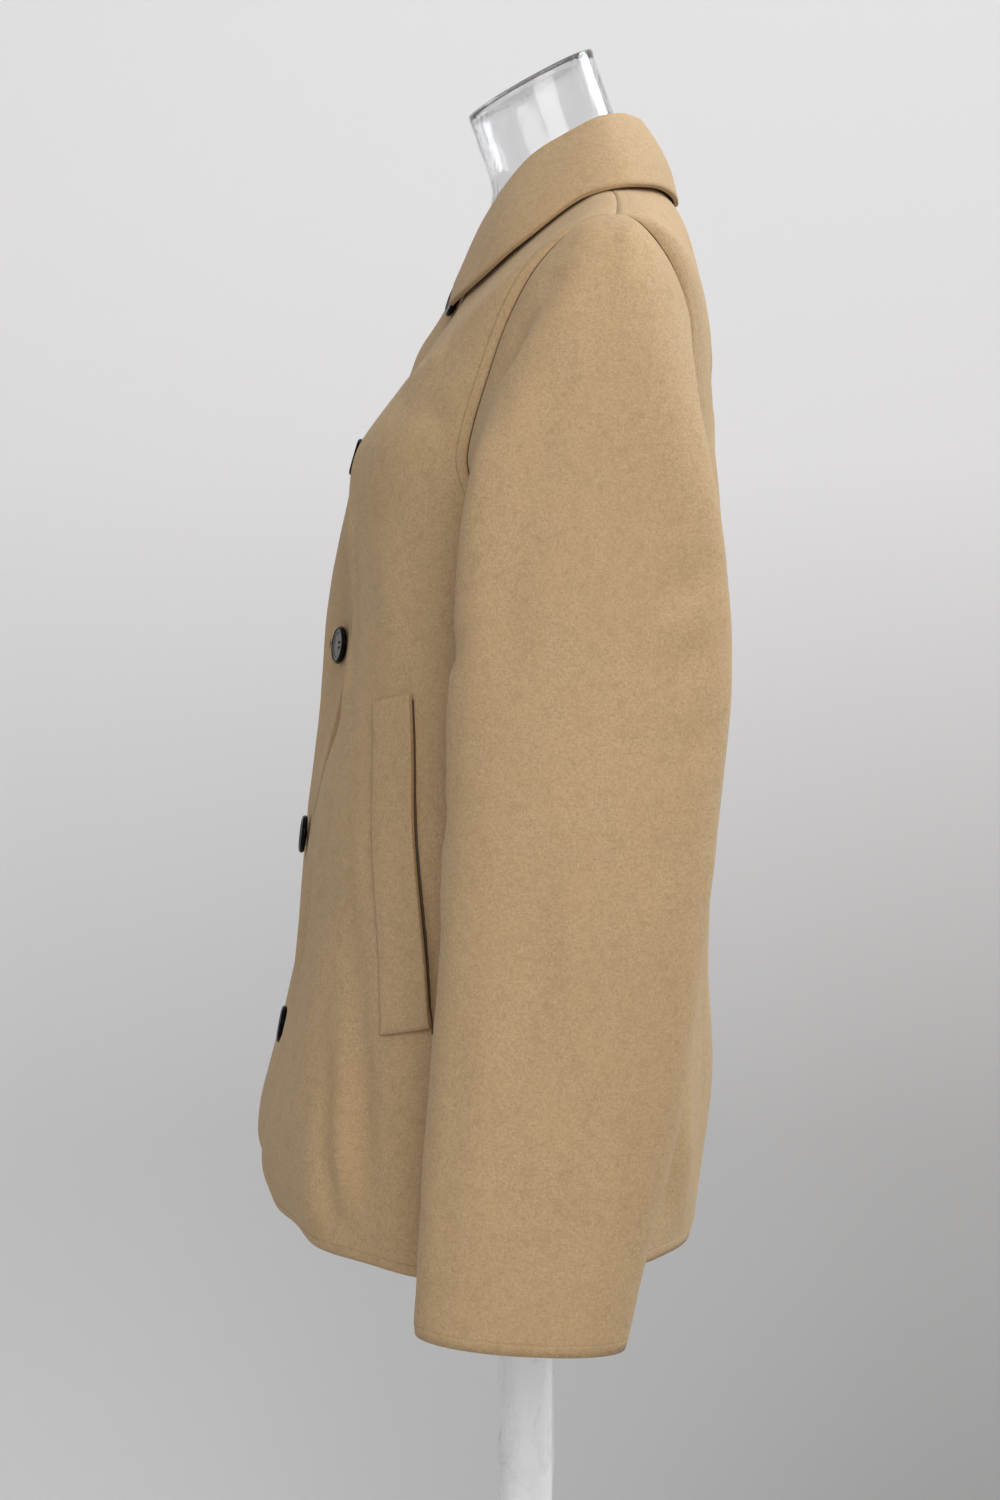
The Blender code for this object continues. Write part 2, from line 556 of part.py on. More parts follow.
def make_turned(name, profile, material, steps=32):
    """A solid turned about the upright axis from its outline of radii and heights."""
    form = bmesh.new()
    points = [form.verts.new((radius, 0.0, z)) for radius, z in profile]
    edges = [form.edges.new(pair) for pair in zip(points, points[1:])]
    bmesh.ops.spin(form, geom=points + edges, cent=(0, 0, 0), axis=(0, 0, 1), angle=2 * pi,
                   steps=steps, use_merge=True)
    bmesh.ops.remove_doubles(form, verts=form.verts, dist=1e-6)
    return finish_bmesh(name, form, material)


def make_stand(material_pole, material_base):
    form_bottom = form_rings()[0][0, 2]
    pole_bottom = BASE_THICK + SEAM_GAP
    make_turned("stand_pole", [(0.0, pole_bottom), (SOCKET_RADIUS, pole_bottom),
                               (SOCKET_RADIUS, pole_bottom + SOCKET_HEIGHT - 0.004),
                               (SOCKET_RADIUS - 0.004, pole_bottom + SOCKET_HEIGHT),
                               (POLE_RADIUS, pole_bottom + SOCKET_HEIGHT),
                               (POLE_RADIUS, form_bottom - SEAM_GAP),
                               (0.0, form_bottom - SEAM_GAP)], material_pole, 24)
    make_turned("stand_base", [(0.0, 0.0), (BASE_RADIUS - 0.002, 0.0), (BASE_RADIUS, 0.002),
                               (BASE_RADIUS, BASE_THICK - 0.003),
                               (BASE_RADIUS - 0.003, BASE_THICK), (0.0, BASE_THICK)],
                material_base, 48)


def main():
    for old in list(bpy.data.objects):
        bpy.data.objects.remove(old, do_unlink=True)
    cloth = make_material("camel_wool", (0.50, 0.345, 0.195), 0.9)
    horn = make_material("black_gloss", (0.02, 0.018, 0.016), 0.2)
    clear = make_material("clear_plastic", (0.86, 0.88, 0.90), 0.1, alpha=0.35)
    wrap = make_material("white_pole", (0.80, 0.80, 0.80), 0.4)
    steel = make_material("base_metal", (0.72, 0.72, 0.72), 0.35)
    make_front("front_left", 1, True, cloth)
    make_front("front_right", -1, False, cloth)
    make_back(cloth)
    make_sleeve("sleeve_left", 1, cloth)
    make_sleeve("sleeve_right", -1, cloth)
    make_collar(cloth)
    make_welt("pocket_welt_left", 1, cloth)
    make_welt("pocket_welt_right", -1, cloth)
    for number, height in enumerate(BUTTON_HEIGHTS, 1):
        make_button(f"button_{number}", height, horn)
    make_dress_form(clear)
    make_stand(wrap, steel)


main()
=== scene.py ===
from math import cos, inf, pi, radians, sin
import bmesh
import bpy
import numpy as np
from mathutils import Matrix, Vector, noise
from mathutils.bvhtree import BVHTree
from mathutils.kdtree import KDTree


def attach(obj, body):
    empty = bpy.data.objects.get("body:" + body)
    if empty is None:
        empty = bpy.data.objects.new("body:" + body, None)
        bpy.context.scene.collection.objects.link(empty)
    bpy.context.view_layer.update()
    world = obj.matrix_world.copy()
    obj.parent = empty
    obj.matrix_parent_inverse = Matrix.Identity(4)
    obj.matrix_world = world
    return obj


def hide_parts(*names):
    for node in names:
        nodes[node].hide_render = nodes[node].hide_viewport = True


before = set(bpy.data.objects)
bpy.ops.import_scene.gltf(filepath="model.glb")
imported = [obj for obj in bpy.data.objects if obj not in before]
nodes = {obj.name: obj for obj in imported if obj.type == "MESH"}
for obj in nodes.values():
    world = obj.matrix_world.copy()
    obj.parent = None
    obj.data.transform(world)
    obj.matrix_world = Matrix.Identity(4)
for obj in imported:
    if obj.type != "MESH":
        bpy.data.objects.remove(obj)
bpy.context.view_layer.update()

print("frame loaded,", len(nodes), "nodes")


# small helpers for materials
def setSockets(node, sockets):
    for name, value in sockets.items():
        node.inputs[name].default_value = value


def newMaterial(name):
    material = bpy.data.materials.new(name)
    material.use_nodes = True
    tree = material.node_tree
    return material, tree, tree.nodes["Principled BSDF"]


def objectPoint(tree, scale=(1.0, 1.0, 1.0), turn=(0.0, 0.0, 0.0)):
    place = tree.nodes.new("ShaderNodeTexCoord")
    mapping = tree.nodes.new("ShaderNodeMapping")
    setSockets(mapping, {"Scale": scale, "Rotation": turn})
    tree.links.new(place.outputs["Object"], mapping.inputs["Vector"])
    return mapping.outputs["Vector"]


def noiseOf(tree, point, scale, detail=2.0, roughness=0.5, distortion=0.0):
    grain = tree.nodes.new("ShaderNodeTexNoise")
    setSockets(grain, {"Scale": scale, "Detail": detail, "Roughness": roughness, "Distortion": distortion})
    tree.links.new(point, grain.inputs["Vector"])
    return grain.outputs["Fac"]


def rangeOf(tree, value, low, high, toLow=0.0, toHigh=1.0, smooth=False):
    step = tree.nodes.new("ShaderNodeMapRange")
    if smooth:
        step.interpolation_type = "SMOOTHSTEP"
    setSockets(step, {"From Min": low, "From Max": high, "To Min": toLow, "To Max": toHigh})
    tree.links.new(value, step.inputs["Value"])
    return step.outputs["Result"]


def mathOf(tree, operation, first, second=0.0):
    node = tree.nodes.new("ShaderNodeMath")
    node.operation = operation
    for index, value in enumerate((first, second)):
        if isinstance(value, (int, float)):
            node.inputs[index].default_value = value
        else:
            tree.links.new(value, node.inputs[index])
    return node.outputs[0]


def mixOf(tree, share, first, second):
    node = tree.nodes.new("ShaderNodeMix")
    node.data_type = "RGBA"
    for index, value in ((0, share), (6, first), (7, second)):
        if hasattr(value, "is_linked"):
            tree.links.new(value, node.inputs[index])
        elif index:
            node.inputs[index].default_value = (*value, 1.0)
        else:
            node.inputs[index].default_value = value
    return node.outputs[2]


def attributeOf(tree, name):
    node = tree.nodes.new("ShaderNodeAttribute")
    node.attribute_name = name
    return node.outputs["Fac"]


def lineAt(tree, value, middle, width):
    # a soft line: 1 where the value is at its middle, 0 beyond its width
    away = mathOf(tree, "ABSOLUTE", mathOf(tree, "SUBTRACT", value, middle))
    return rangeOf(tree, away, 0.0, width, 1.0, 0.0, True)


def bumpOf(tree, shader, height, distance, strength=1.0, under=None):
    bump = tree.nodes.new("ShaderNodeBump")
    setSockets(bump, {"Strength": strength, "Distance": distance})
    tree.links.new(height, bump.inputs["Height"])
    if under is not None:
        tree.links.new(under, bump.inputs["Normal"])
    tree.links.new(bump.outputs["Normal"], shader.inputs["Normal"])
    return bump.outputs["Normal"]


# the wool: short brushed fibres over a faint weave, soft clouds of shade, and felled edges
wool = {
    "light": (0.562, 0.394, 0.226), "dark": (0.376, 0.252, 0.131), "warm": (0.522, 0.342, 0.172),
    "speck": (0.215, 0.140, 0.078), "threadSquash": 0.45, "bandWidth": 0.0066, "bandLine": 0.0010,
    "bandHeight": 0.00045, "lineShade": 0.18, "lineDepth": 0.5, "napHeight": 0.0009, "napStrength": 0.75,
    "collarShade": 0.97,
    "relief": {"fibres": 0.40, "nap": 0.60, "mottle": 0.60},
    "sockets": {"Roughness": 0.92, "Specular IOR Level": 0.26, "Sheen Weight": 0.13,
                "Sheen Roughness": 0.45, "Sheen Tint": (1.0, 0.86, 0.66, 1.0)},
}
# each noise's scale, detail, roughness and distortion
woolNoises = {"thread": (1150.0, 3.0, 0.6, 0.0), "nap": (430.0, 4.0, 0.62, 0.6),
              "mottle": (150.0, 4.0, 0.66, 0.4), "clouds": (42.0, 3.0, 0.55, 0.0),
              "drift": (9.0, 2.0, 0.5, 0.0)}
# colours laid over the dark ground: the noise, where it sets in and is full, its share, and the tone
woolLayers = [("fibres", 0.39, 0.61, 1.0, "light"), ("nap", 0.30, 0.72, 0.50, "light"),
              ("mottle", 0.50, 0.70, 0.50, "dark"), ("nap", 0.62, 0.74, 0.35, "speck"),
              ("clouds", 0.35, 0.70, 0.28, "warm"), ("drift", 0.35, 0.70, 0.18, "dark")]


def makeWool(name, brightness=1.0):
    material, tree, shader = newMaterial(name)
    tones = {key: [c * brightness for c in wool[key]] for key in ("light", "dark", "warm", "speck")}
    point, squash = objectPoint(tree), wool["threadSquash"]
    warp = noiseOf(tree, objectPoint(tree, (1.0, 1.0, squash)), *woolNoises["thread"])
    weft = noiseOf(tree, objectPoint(tree, (squash, squash, 1.0)), *woolNoises["thread"])
    grains = {key: noiseOf(tree, point, *woolNoises[key]) for key in ("nap", "mottle", "clouds", "drift")}
    grains["fibres"] = mathOf(tree, "MULTIPLY", mathOf(tree, "ADD", warp, weft), 0.5)
    colour = tones["dark"]
    for grain, low, high, share, tone in woolLayers:
        colour = mixOf(tree, rangeOf(tree, grains[grain], low, high, 0.0, share), colour, tones[tone])
    edge, felled = attributeOf(tree, "edge"), attributeOf(tree, "felled")
    # a thin line of painted shade, in the groove pressed along each felled edge
    line = mathOf(tree, "MULTIPLY", lineAt(tree, edge, wool["bandWidth"], wool["bandLine"]), felled)
    colour = mixOf(tree, mathOf(tree, "MULTIPLY", line, wool["lineShade"]), colour, tones["speck"])
    tree.links.new(colour, shader.inputs["Base Color"])
    setSockets(shader, wool["sockets"])
    low, high = wool["bandWidth"] - wool["bandLine"], wool["bandWidth"] + wool["bandLine"]
    band = mathOf(tree, "MULTIPLY", rangeOf(tree, edge, low, high, 1.0, 0.0, True), felled)
    fold = mathOf(tree, "SUBTRACT", band, mathOf(tree, "MULTIPLY", line, wool["lineDepth"]))
    ridge = bumpOf(tree, shader, fold, wool["bandHeight"])
    fibres, nap, mottle = (mathOf(tree, "MULTIPLY", grains[key], share)
                           for key, share in wool["relief"].items())
    relief = mathOf(tree, "ADD", mathOf(tree, "ADD", fibres, nap), mottle)
    bumpOf(tree, shader, relief, wool["napHeight"], wool["napStrength"], ridge)
    return material


# cloth walls are made from merged copies of the frame's own solids
wall = {"rimAngle": 50.0, "rimThick": 0.0031, "merge": 1e-5, "sampleStep": 0.0012, "farthest": 0.03,
        "restores": 2, "restoreShare": 0.9}


def mergedCopy(nodeName):
    # a node's loose triangles joined up, with each pair of triangles made a quad again
    form = bmesh.new()
    form.from_mesh(nodes[nodeName].data)
    bmesh.ops.remove_doubles(form, verts=form.verts, dist=wall["merge"])
    longest = {face: max(face.edges, key=lambda edge: edge.calc_length()) for face in form.faces}
    diagonals = [edge for edge in form.edges
                 if len(edge.link_faces) == 2 and all(longest[face] is edge for face in edge.link_faces)]
    bmesh.ops.dissolve_edges(form, edges=diagonals, use_verts=False)
    return form


def isRim(edge):
    if len(edge.link_faces) != 2 or edge.calc_face_angle(0.0) < radians(wall["rimAngle"]):
        return False
    shortest = min(side.calc_length() for face in edge.link_faces for side in face.edges)
    return shortest < wall["rimThick"]


def markWall(form):
    # full creases round the rims, and an attribute that is 1 on the cloth's outer side
    crease = form.edges.layers.float.new("crease_edge")
    outside = form.verts.layers.float.new("outside")
    rims = {edge for edge in form.edges if isRim(edge)}
    for edge in rims:
        edge[crease] = 1.0
    regions, seen = [], set()
    for first in form.faces:
        if first in seen:
            continue
        seen.add(first)
        region, waiting = [], [first]
        while waiting:
            face = waiting.pop()
            region.append(face)
            for edge in face.edges:
                if edge in rims:
                    continue
                for other in edge.link_faces:
                    if other not in seen:
                        seen.add(other)
                        waiting.append(other)
        regions.append(region)
    regions.sort(key=lambda region: -sum(face.calc_area() for face in region))
    for face in regions[0]:
        for vert in face.verts:
            vert[outside] = 1.0


def linkObject(name, data):
    made = bpy.data.objects.new(name, data)
    bpy.context.scene.collection.objects.link(made)
    return made


def formPiece(form, name):
    mesh = bpy.data.meshes.new(name)
    form.to_mesh(mesh)
    form.free()
    return linkObject(name, mesh)


def evaluatedMesh(piece):
    graph = bpy.context.evaluated_depsgraph_get()
    return bpy.data.meshes.new_from_object(piece.evaluated_get(graph))


def settle(piece):
    # the piece's modifiers are worked into its mesh
    mesh, draft = evaluatedMesh(piece), piece.data
    piece.modifiers.clear()
    piece.data = mesh
    bpy.data.meshes.remove(draft)
    mesh.name = piece.name
    mesh.shade_smooth()
    return piece


def thicken(piece, thickness, offset):
    thick = piece.modifiers.new("wall", "SOLIDIFY")
    thick.thickness = thickness
    thick.offset = offset
    settle(piece)


def readPoints(mesh):
    points = np.zeros(len(mesh.vertices) * 3)
    mesh.vertices.foreach_get("co", points)
    return points.reshape(-1, 3)


def writePoints(mesh, points):
    mesh.vertices.foreach_set("co", points.ravel())
    mesh.update()


def smoothForm(form, name, steps):
    # the control form rounded by Subdivision Surface, as a plain mesh object; the control points
    # are first moved out by what the rounding takes off, so the round surface keeps the form's size
    piece = formPiece(form, name)
    draft = piece.data
    rounder = piece.modifiers.new("round", "SUBSURF")
    rounder.levels = 1
    rounder.render_levels = 1
    wanted = readPoints(draft)
    for turn in range(wall["restores"]):
        graph = bpy.context.evaluated_depsgraph_get()
        rounded = readPoints(piece.evaluated_get(graph).data)[:len(wanted)]
        writePoints(draft, readPoints(draft) + (wanted - rounded) * wall["restoreShare"])
    rounder.levels = steps
    rounder.render_levels = steps
    return settle(piece)


def writeAttribute(mesh, name, values):
    attribute = mesh.attributes.get(name) or mesh.attributes.new(name, "FLOAT", "POINT")
    attribute.data.foreach_set("value", np.asarray(values, np.float32))


def treeOf(points):
    tree = KDTree(len(points))
    for count, point in enumerate(points):
        tree.insert(point, count)
    tree.balance()
    return tree


def wallFacts(mesh):
    # each point's place, outward direction, twin on the outer side, and distance from the rim
    points = readPoints(mesh)
    outside = np.zeros(len(points))
    mesh.attributes["outside"].data.foreach_get("value", outside)
    outer = outside > 0.99
    normals = np.zeros_like(points)
    rimEdges = []
    for face in mesh.polygons:
        corners = list(face.vertices)
        flags = outer[corners]
        if flags.all():
            normals[corners] += np.array(face.normal) * face.area
        elif flags.any():
            for first, second in zip(corners, corners[1:] + corners[:1]):
                if outer[first] and outer[second]:
                    rimEdges.append((first, second))
    normals = normals / np.maximum(np.linalg.norm(normals, axis=1, keepdims=True), 1e-12)
    numbers = np.where(outer)[0]
    near = treeOf(points[numbers])
    twin = np.array([number if outer[number] else numbers[near.find(point)[1]]
                     for number, point in enumerate(points)])
    samples = []
    for first, second in rimEdges:
        span = np.linalg.norm(points[second] - points[first])
        for share in np.linspace(0.0, 1.0, 2 + int(span / wall["sampleStep"])):
            samples.append(points[first] + (points[second] - points[first]) * share)
    rim = treeOf(samples)
    distance = np.array([rim.find(point)[2] for point in points])
    return points, normals[twin], twin, distance


def bell(value, reach):
    # a soft bump: 1 in its middle, 0 beyond its reach
    return np.where(np.abs(value) < reach, 0.5 + 0.5 * np.cos(pi * value / reach), 0.0)


def ramp(value, low, high):
    share = np.clip((value - low) / (high - low), 0.0, 1.0)
    return share * share * (3.0 - 2.0 * share)


def softNoise(points, scale, seed):
    shift = Vector((seed * 3.7, seed * 1.3, seed * 5.1))
    return np.array([noise.noise(Vector(point) * scale + shift) for point in points])


def surfaceOf(piece):
    points = readPoints(piece.data)
    faces = [list(face.vertices) for face in piece.data.polygons]
    return BVHTree.FromPolygons([Vector(point) for point in points], faces)


def traceLine(surface, places, axis, side):
    # points of a crease, dropped along one axis onto the cloth; places are seen along that axis
    traced = []
    stations = np.linspace(0.0, len(places) - 1.0, 6 * (len(places) - 1) + 1)
    for first, second in zip(*(np.interp(stations, range(len(places)), column) for column in zip(*places))):
        if axis == "x":
            start, aim = Vector((side * 1.0, first, second)), Vector((-side, 0, 0))
        else:
            start, aim = Vector((first, side * 1.0, second)), Vector((0, -side, 0))
        hit = surface.ray_cast(start, aim)[0]
        if hit is not None:
            traced.append(np.array(hit))
    return traced


creaseFeel = {"fade": 0.8, "waver": 0.30, "turns": 9.0, "seedTurn": 2.1}


def creaseHeight(points, line, width, depth, seed):
    # a trough or ridge along a line: it fades out at both ends and is a little uneven
    if len(line) < 2:
        return np.zeros(len(points))
    line = np.array(line)
    closest = np.full(len(points), 1e9)
    along = np.zeros(len(points))
    steps = len(line) - 1
    for number in range(steps):
        start, run = line[number], line[number + 1] - line[number]
        share = np.clip((points - start) @ run / max(run @ run, 1e-12), 0.0, 1.0)
        gap = np.linalg.norm(points - start - share[:, None] * run, axis=1)
        nearer = gap < closest
        closest[nearer] = gap[nearer]
        along[nearer] = (number + share[nearer]) / steps
    fade = np.sin(pi * np.clip(along, 0.0, 1.0)) ** creaseFeel["fade"]
    waver = 1.0 + creaseFeel["waver"] * np.sin(along * creaseFeel["turns"] + seed * creaseFeel["seedTurn"])
    return depth * bell(closest, width) * fade * waver


def finishPiece(piece, material, slot, *replaced):
    piece.data.materials.clear()
    piece.data.materials.append(material)
    piece.data.shade_smooth()
    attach(piece, "root")
    if replaced:
        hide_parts(*replaced)


def makeCloth(nodeName, name, cut, material, shape, felled, nudge=None):
    # one piece of cloth: shape gives how far each outer point moves out, felled where its edge is
    # felled, and nudge moves points along the cloth
    form = mergedCopy(nodeName)
    markWall(form)
    piece = smoothForm(form, name, cut["steps"])
    points, outward, twin, distance = wallFacts(piece.data)
    lift = shape(points, distance, surfaceOf(piece))[twin]
    moved = points + outward * lift[:, None]
    if nudge is not None:
        moved = moved + nudge(points, distance)
    writePoints(piece.data, moved)
    writeAttribute(piece.data, "edge", np.minimum(distance, wall["farthest"]))
    writeAttribute(piece.data, "felled", felled(points))
    finishPiece(piece, material, "cloth", nodeName)
    print("cloth piece", name, len(piece.data.polygons), "faces")
    return piece


# a crease's row: the axis it is seen along, its width and depth, then its (across, height) places,
# where across is y seen along x, and x seen along y; a depth above 0 is a ridge
frontCreases = [
    ("x", 0.019, -0.0056, (-0.110, 1.012), (-0.102, 0.985), (-0.100, 0.930), (-0.098, 0.883),
     (-0.094, 0.852), (-0.092, 0.800)),
    ("x", 0.013, -0.0034, (-0.130, 1.008), (-0.115, 1.000), (-0.103, 0.978)),
    ("x", 0.016, -0.0042, (-0.117, 0.925), (-0.120, 0.868), (-0.115, 0.828), (-0.098, 0.804)),
    ("x", 0.012, 0.0030, (-0.109, 0.930), (-0.108, 0.870), (-0.104, 0.830)),
    ("y", 0.050, -0.0056, (0.070, 1.205), (0.072, 1.145), (0.074, 1.070)),
    ("x", 0.010, 0.0038, (-0.1035, 1.265), (-0.1045, 1.205), (-0.1065, 1.150), (-0.112, 1.090)),
    ("x", 0.008, -0.0032, (-0.1120, 1.240), (-0.1125, 1.200), (-0.1135, 1.150)),
    ("x", 0.006, 0.0012, (-0.100, 1.135), (-0.100, 1.060), (-0.099, 0.990), (-0.092, 0.930)),
    ("x", 0.018, 0.0024, (-0.049, 1.318), (-0.064, 1.308), (-0.080, 1.297)),
    ("x", 0.016, -0.0022, (-0.084, 1.290), (-0.060, 1.284), (-0.040, 1.272)),
    ("x", 0.024, 0.0022, (-0.084, 1.235), (-0.080, 1.170), (-0.082, 1.100)),
    ("x", 0.016, -0.0024, (-0.108, 1.235), (-0.104, 1.190), (-0.104, 1.130)),
    ("y", 0.026, -0.0034, (0.060, 1.150), (0.072, 1.050), (0.066, 0.930), (0.078, 0.820)),
    ("y", 0.020, 0.0024, (0.042, 1.080), (0.048, 0.960), (0.044, 0.840)),
    ("y", 0.018, -0.0022, (0.030, 1.215), (0.055, 1.180), (0.088, 1.168)),
    ("y", 0.016, -0.0018, (0.036, 1.110), (0.064, 1.096), (0.094, 1.104)),
    ("y", 0.022, 0.0020, (0.120, 1.010), (0.132, 0.910), (0.128, 0.815)),
]
backCreases = [
    ("y", 0.034, -0.0062, (-0.050, 1.230), (-0.062, 1.080), (-0.070, 0.930), (-0.064, 0.800)),
    ("y", 0.032, -0.0057, (0.056, 1.200), (0.070, 1.050), (0.060, 0.900), (0.070, 0.800)),
    ("y", 0.026, 0.0041, (-0.115, 1.260), (-0.100, 1.160), (-0.110, 1.040)),
    ("y", 0.026, 0.0041, (0.112, 1.270), (0.104, 1.160), (0.118, 1.020)),
    ("y", 0.036, 0.0046, (-0.010, 1.000), (0.004, 0.900), (-0.004, 0.800)),
    ("y", 0.026, 0.0043, (-0.130, 0.940), (-0.140, 0.860), (-0.134, 0.800)),
    ("y", 0.026, -0.0046, (-0.164, 1.050), (-0.170, 0.930), (-0.166, 0.810)),
    ("y", 0.026, 0.0041, (0.128, 0.950), (0.140, 0.870), (0.136, 0.800)),
    ("y", 0.026, -0.0043, (0.160, 1.080), (0.172, 0.950), (0.164, 0.810)),
    ("y", 0.020, -0.0024, (-0.120, 1.350), (-0.060, 1.336), (0.000, 1.345)),
    ("y", 0.018, -0.0027, (0.130, 1.330), (0.100, 1.300), (0.060, 1.295)),
    ("y", 0.016, -0.0022, (-0.080, 1.110), (-0.020, 1.096), (0.050, 1.106)),
]
sleeveCreases = [
    ("x", 0.020, -0.0056, (0.016, 1.362), (-0.008, 1.326), (-0.030, 1.284)),
    ("x", 0.020, 0.0026, (-0.016, 1.290), (-0.028, 1.250), (-0.036, 1.205)),
    ("x", 0.022, -0.0030, (0.020, 1.320), (0.004, 1.260), (-0.012, 1.200), (-0.016, 1.130)),
    ("x", 0.014, -0.0022, (0.102, 1.205), (0.086, 1.190), (0.062, 1.184)),
    ("x", 0.013, -0.0024, (0.104, 1.162), (0.084, 1.146), (0.050, 1.140)),
    ("x", 0.014, -0.0022, (0.102, 1.112), (0.080, 1.100), (0.048, 1.102)),
    ("x", 0.013, 0.0018, (0.100, 1.180), (0.078, 1.166), (0.054, 1.164)),
    ("x", 0.012, -0.0016, (0.090, 1.050), (0.066, 1.040), (0.036, 1.044)),
    ("x", 0.020, -0.0014, (0.060, 1.270), (0.052, 1.180), (0.050, 1.090)),
    ("x", 0.020, 0.0014, (0.030, 1.120), (0.022, 1.020), (0.016, 0.930)),
    ("x", 0.022, -0.0018, (0.010, 1.060), (0.002, 0.980), (-0.004, 0.900)),
    ("x", 0.020, 0.0020, (-0.020, 0.990), (-0.026, 0.900), (-0.034, 0.810)),
    ("x", 0.022, -0.0018, (0.034, 0.930), (0.024, 0.860), (0.014, 0.792)),
    ("y", 0.020, -0.0030, (0.214, 1.200), (0.222, 1.130), (0.232, 1.060)),
    ("y", 0.018, 0.0022, (0.240, 1.160), (0.246, 1.080), (0.258, 1.000)),
    ("y", 0.014, -0.0026, (0.205, 1.180), (0.236, 1.150), (0.262, 1.160)),
    ("y", 0.014, -0.0020, (0.224, 1.075), (0.250, 1.060), (0.276, 1.070)),
]
# swells that only one of the fronts has
leftSwell = [
    ("y", 0.034, 0.0012, (0.060, 1.335), (0.064, 1.275), (0.068, 1.210)),
    ("y", 0.026, 0.0046, (0.062, 0.935), (0.060, 0.895), (0.058, 0.850)),
]
rightSwell = [("y", 0.032, 0.0036, (0.016, 1.392), (0.024, 1.350), (0.030, 1.300))]
edgeRoll = {"reach": 0.0024, "drop": 0.0005, "clear": 0.004, "full": 0.026}
clothWave = {"scale": 11.0, "height": 0.0014, "fineScale": 38.0, "fineHeight": 0.0005,
             "plainShare": 0.8}
# the right side's creases are the left one's, a little deeper or shallower and shifted
mirrored = {"least": 0.8, "spread": 0.4, "shift": 0.004}


def creasesOn(points, surface, creases, hand, far, seed):
    # all creases of one piece; hand is -1 on the wearer's right, and far the side seen along y
    lift = np.zeros(len(points))
    for number, (axis, width, depth, *row) in enumerate(creases):
        change, shift = 1.0, 0.0
        if hand < 0:
            change = mirrored["least"] + mirrored["spread"] * ((number * 7 + seed) % 5) / 4
            shift = mirrored["shift"] * ((number * 5 + seed) % 3 - 1)
        flip, side = (hand, far) if axis == "y" else (1, hand)
        places = [(across * flip + shift, up + 2 * shift) for across, up in row]
        line = traceLine(surface, places, axis, side)
        lift += creaseHeight(points, line, width, depth * change, number + seed)
    return lift


def softWaves(points, seed):
    return (softNoise(points, clothWave["scale"], seed) * clothWave["height"]
            + softNoise(points, clothWave["fineScale"], seed + 3) * clothWave["fineHeight"])


def rolledEdge(distance):
    return -edgeRoll["drop"] * (1.0 - ramp(distance, 0.0, edgeRoll["reach"]))


def foldedShape(creases, hand, far, seed):
    def shape(points, distance, surface):
        inland = ramp(distance, edgeRoll["clear"], edgeRoll["full"])
        lift = creasesOn(points, surface, creases, hand, far, seed) + softWaves(points, seed)
        return lift * inland + rolledEdge(distance)
    return shape


def plainShape(seed):
    def shape(points, distance, surface):
        inland = ramp(distance, edgeRoll["clear"], edgeRoll["full"])
        return softWaves(points, seed) * clothWave["plainShare"] * inland + rolledEdge(distance)
    return shape


# where the side and shoulder seams run, whose edges aren't felled, and where a cuff starts;
# shoulderClose is how far the edges of the shoulder seam move towards each other
seams = {"sideFrom": 0.158, "sideY": (-0.045, 0.045), "sideTop": 1.205, "sideFoot": 0.815,
         "shoulderZ": 1.378, "shoulderY": (0.006, 0.050), "cuffTop": 0.860,
         "shoulderClose": 0.0007, "shoulderReach": 0.004, "faint": 0.25}
# the collar's points seen from the side, as (y, z), and how far they hang back and down
collarTip = {"place": (-0.050, 1.362), "reach": 0.045, "back": 0.0012, "down": 0.0072}


def nearShoulder(points):
    y, z = points[:, 1], points[:, 2]
    return (z > seams["shoulderZ"]) & (y > seams["shoulderY"][0]) & (y < seams["shoulderY"][1])


def felledPanel(points):
    x, y, z = np.abs(points[:, 0]), points[:, 1], points[:, 2]
    nearSide = (x > seams["sideFrom"]) & (y > seams["sideY"][0]) & (y < seams["sideY"][1])
    nearSide &= (z < seams["sideTop"]) & (z > seams["sideFoot"])
    return np.where(nearSide | nearShoulder(points), 0.0, 1.0)


def seamNudge(way):
    # the shoulder edges of a front and the back meet in their seam
    def nudge(points, distance):
        close = np.where(nearShoulder(points), 1.0 - ramp(distance, 0.0, seams["shoulderReach"]), 0.0)
        return close[:, None] * np.array([0.0, way * seams["shoulderClose"], 0.0])
    return nudge


def collarNudge(points, distance):
    gap = np.linalg.norm(points[:, 1:] - np.array(collarTip["place"]), axis=1)
    return bell(gap, collarTip["reach"])[:, None] * np.array([0.0, collarTip["back"], -collarTip["down"]])


def felledCuff(points):
    return np.where(points[:, 2] < seams["cuffTop"], 1.0, 0.0)


def felledFaintly(points):
    return np.full(len(points), seams["faint"])


def felledNowhere(points):
    return np.zeros(len(points))


# flat is the cut piece's width and length, and area its cloth, all round on the sleeves
cuts = {
    "front": {"steps": 2, "flat": (0.335, 0.640), "area": 0.185, "restsOn": ["dress_form"]},
    "back": {"steps": 2, "flat": (0.560, 0.650), "area": 0.300, "restsOn": ["dress_form"]},
    "sleeve": {"steps": 3, "flat": (0.400, 0.630), "area": 0.196, "restsOn": ["front_left", "back"]},
    "collar": {"steps": 3, "flat": (0.440, 0.125), "area": 0.049, "restsOn": ["front_left", "back"]},
    "welt": {"steps": 3, "flat": (0.036, 0.195), "area": 0.0070, "restsOn": ["front_left"]},
}
woolBody = makeWool("camelWool")
# the collar's wool is the body's wool dimmed, as painted shade over the whole collar
woolShadedCollar = makeWool("camelWoolCollarShaded", wool["collarShade"])

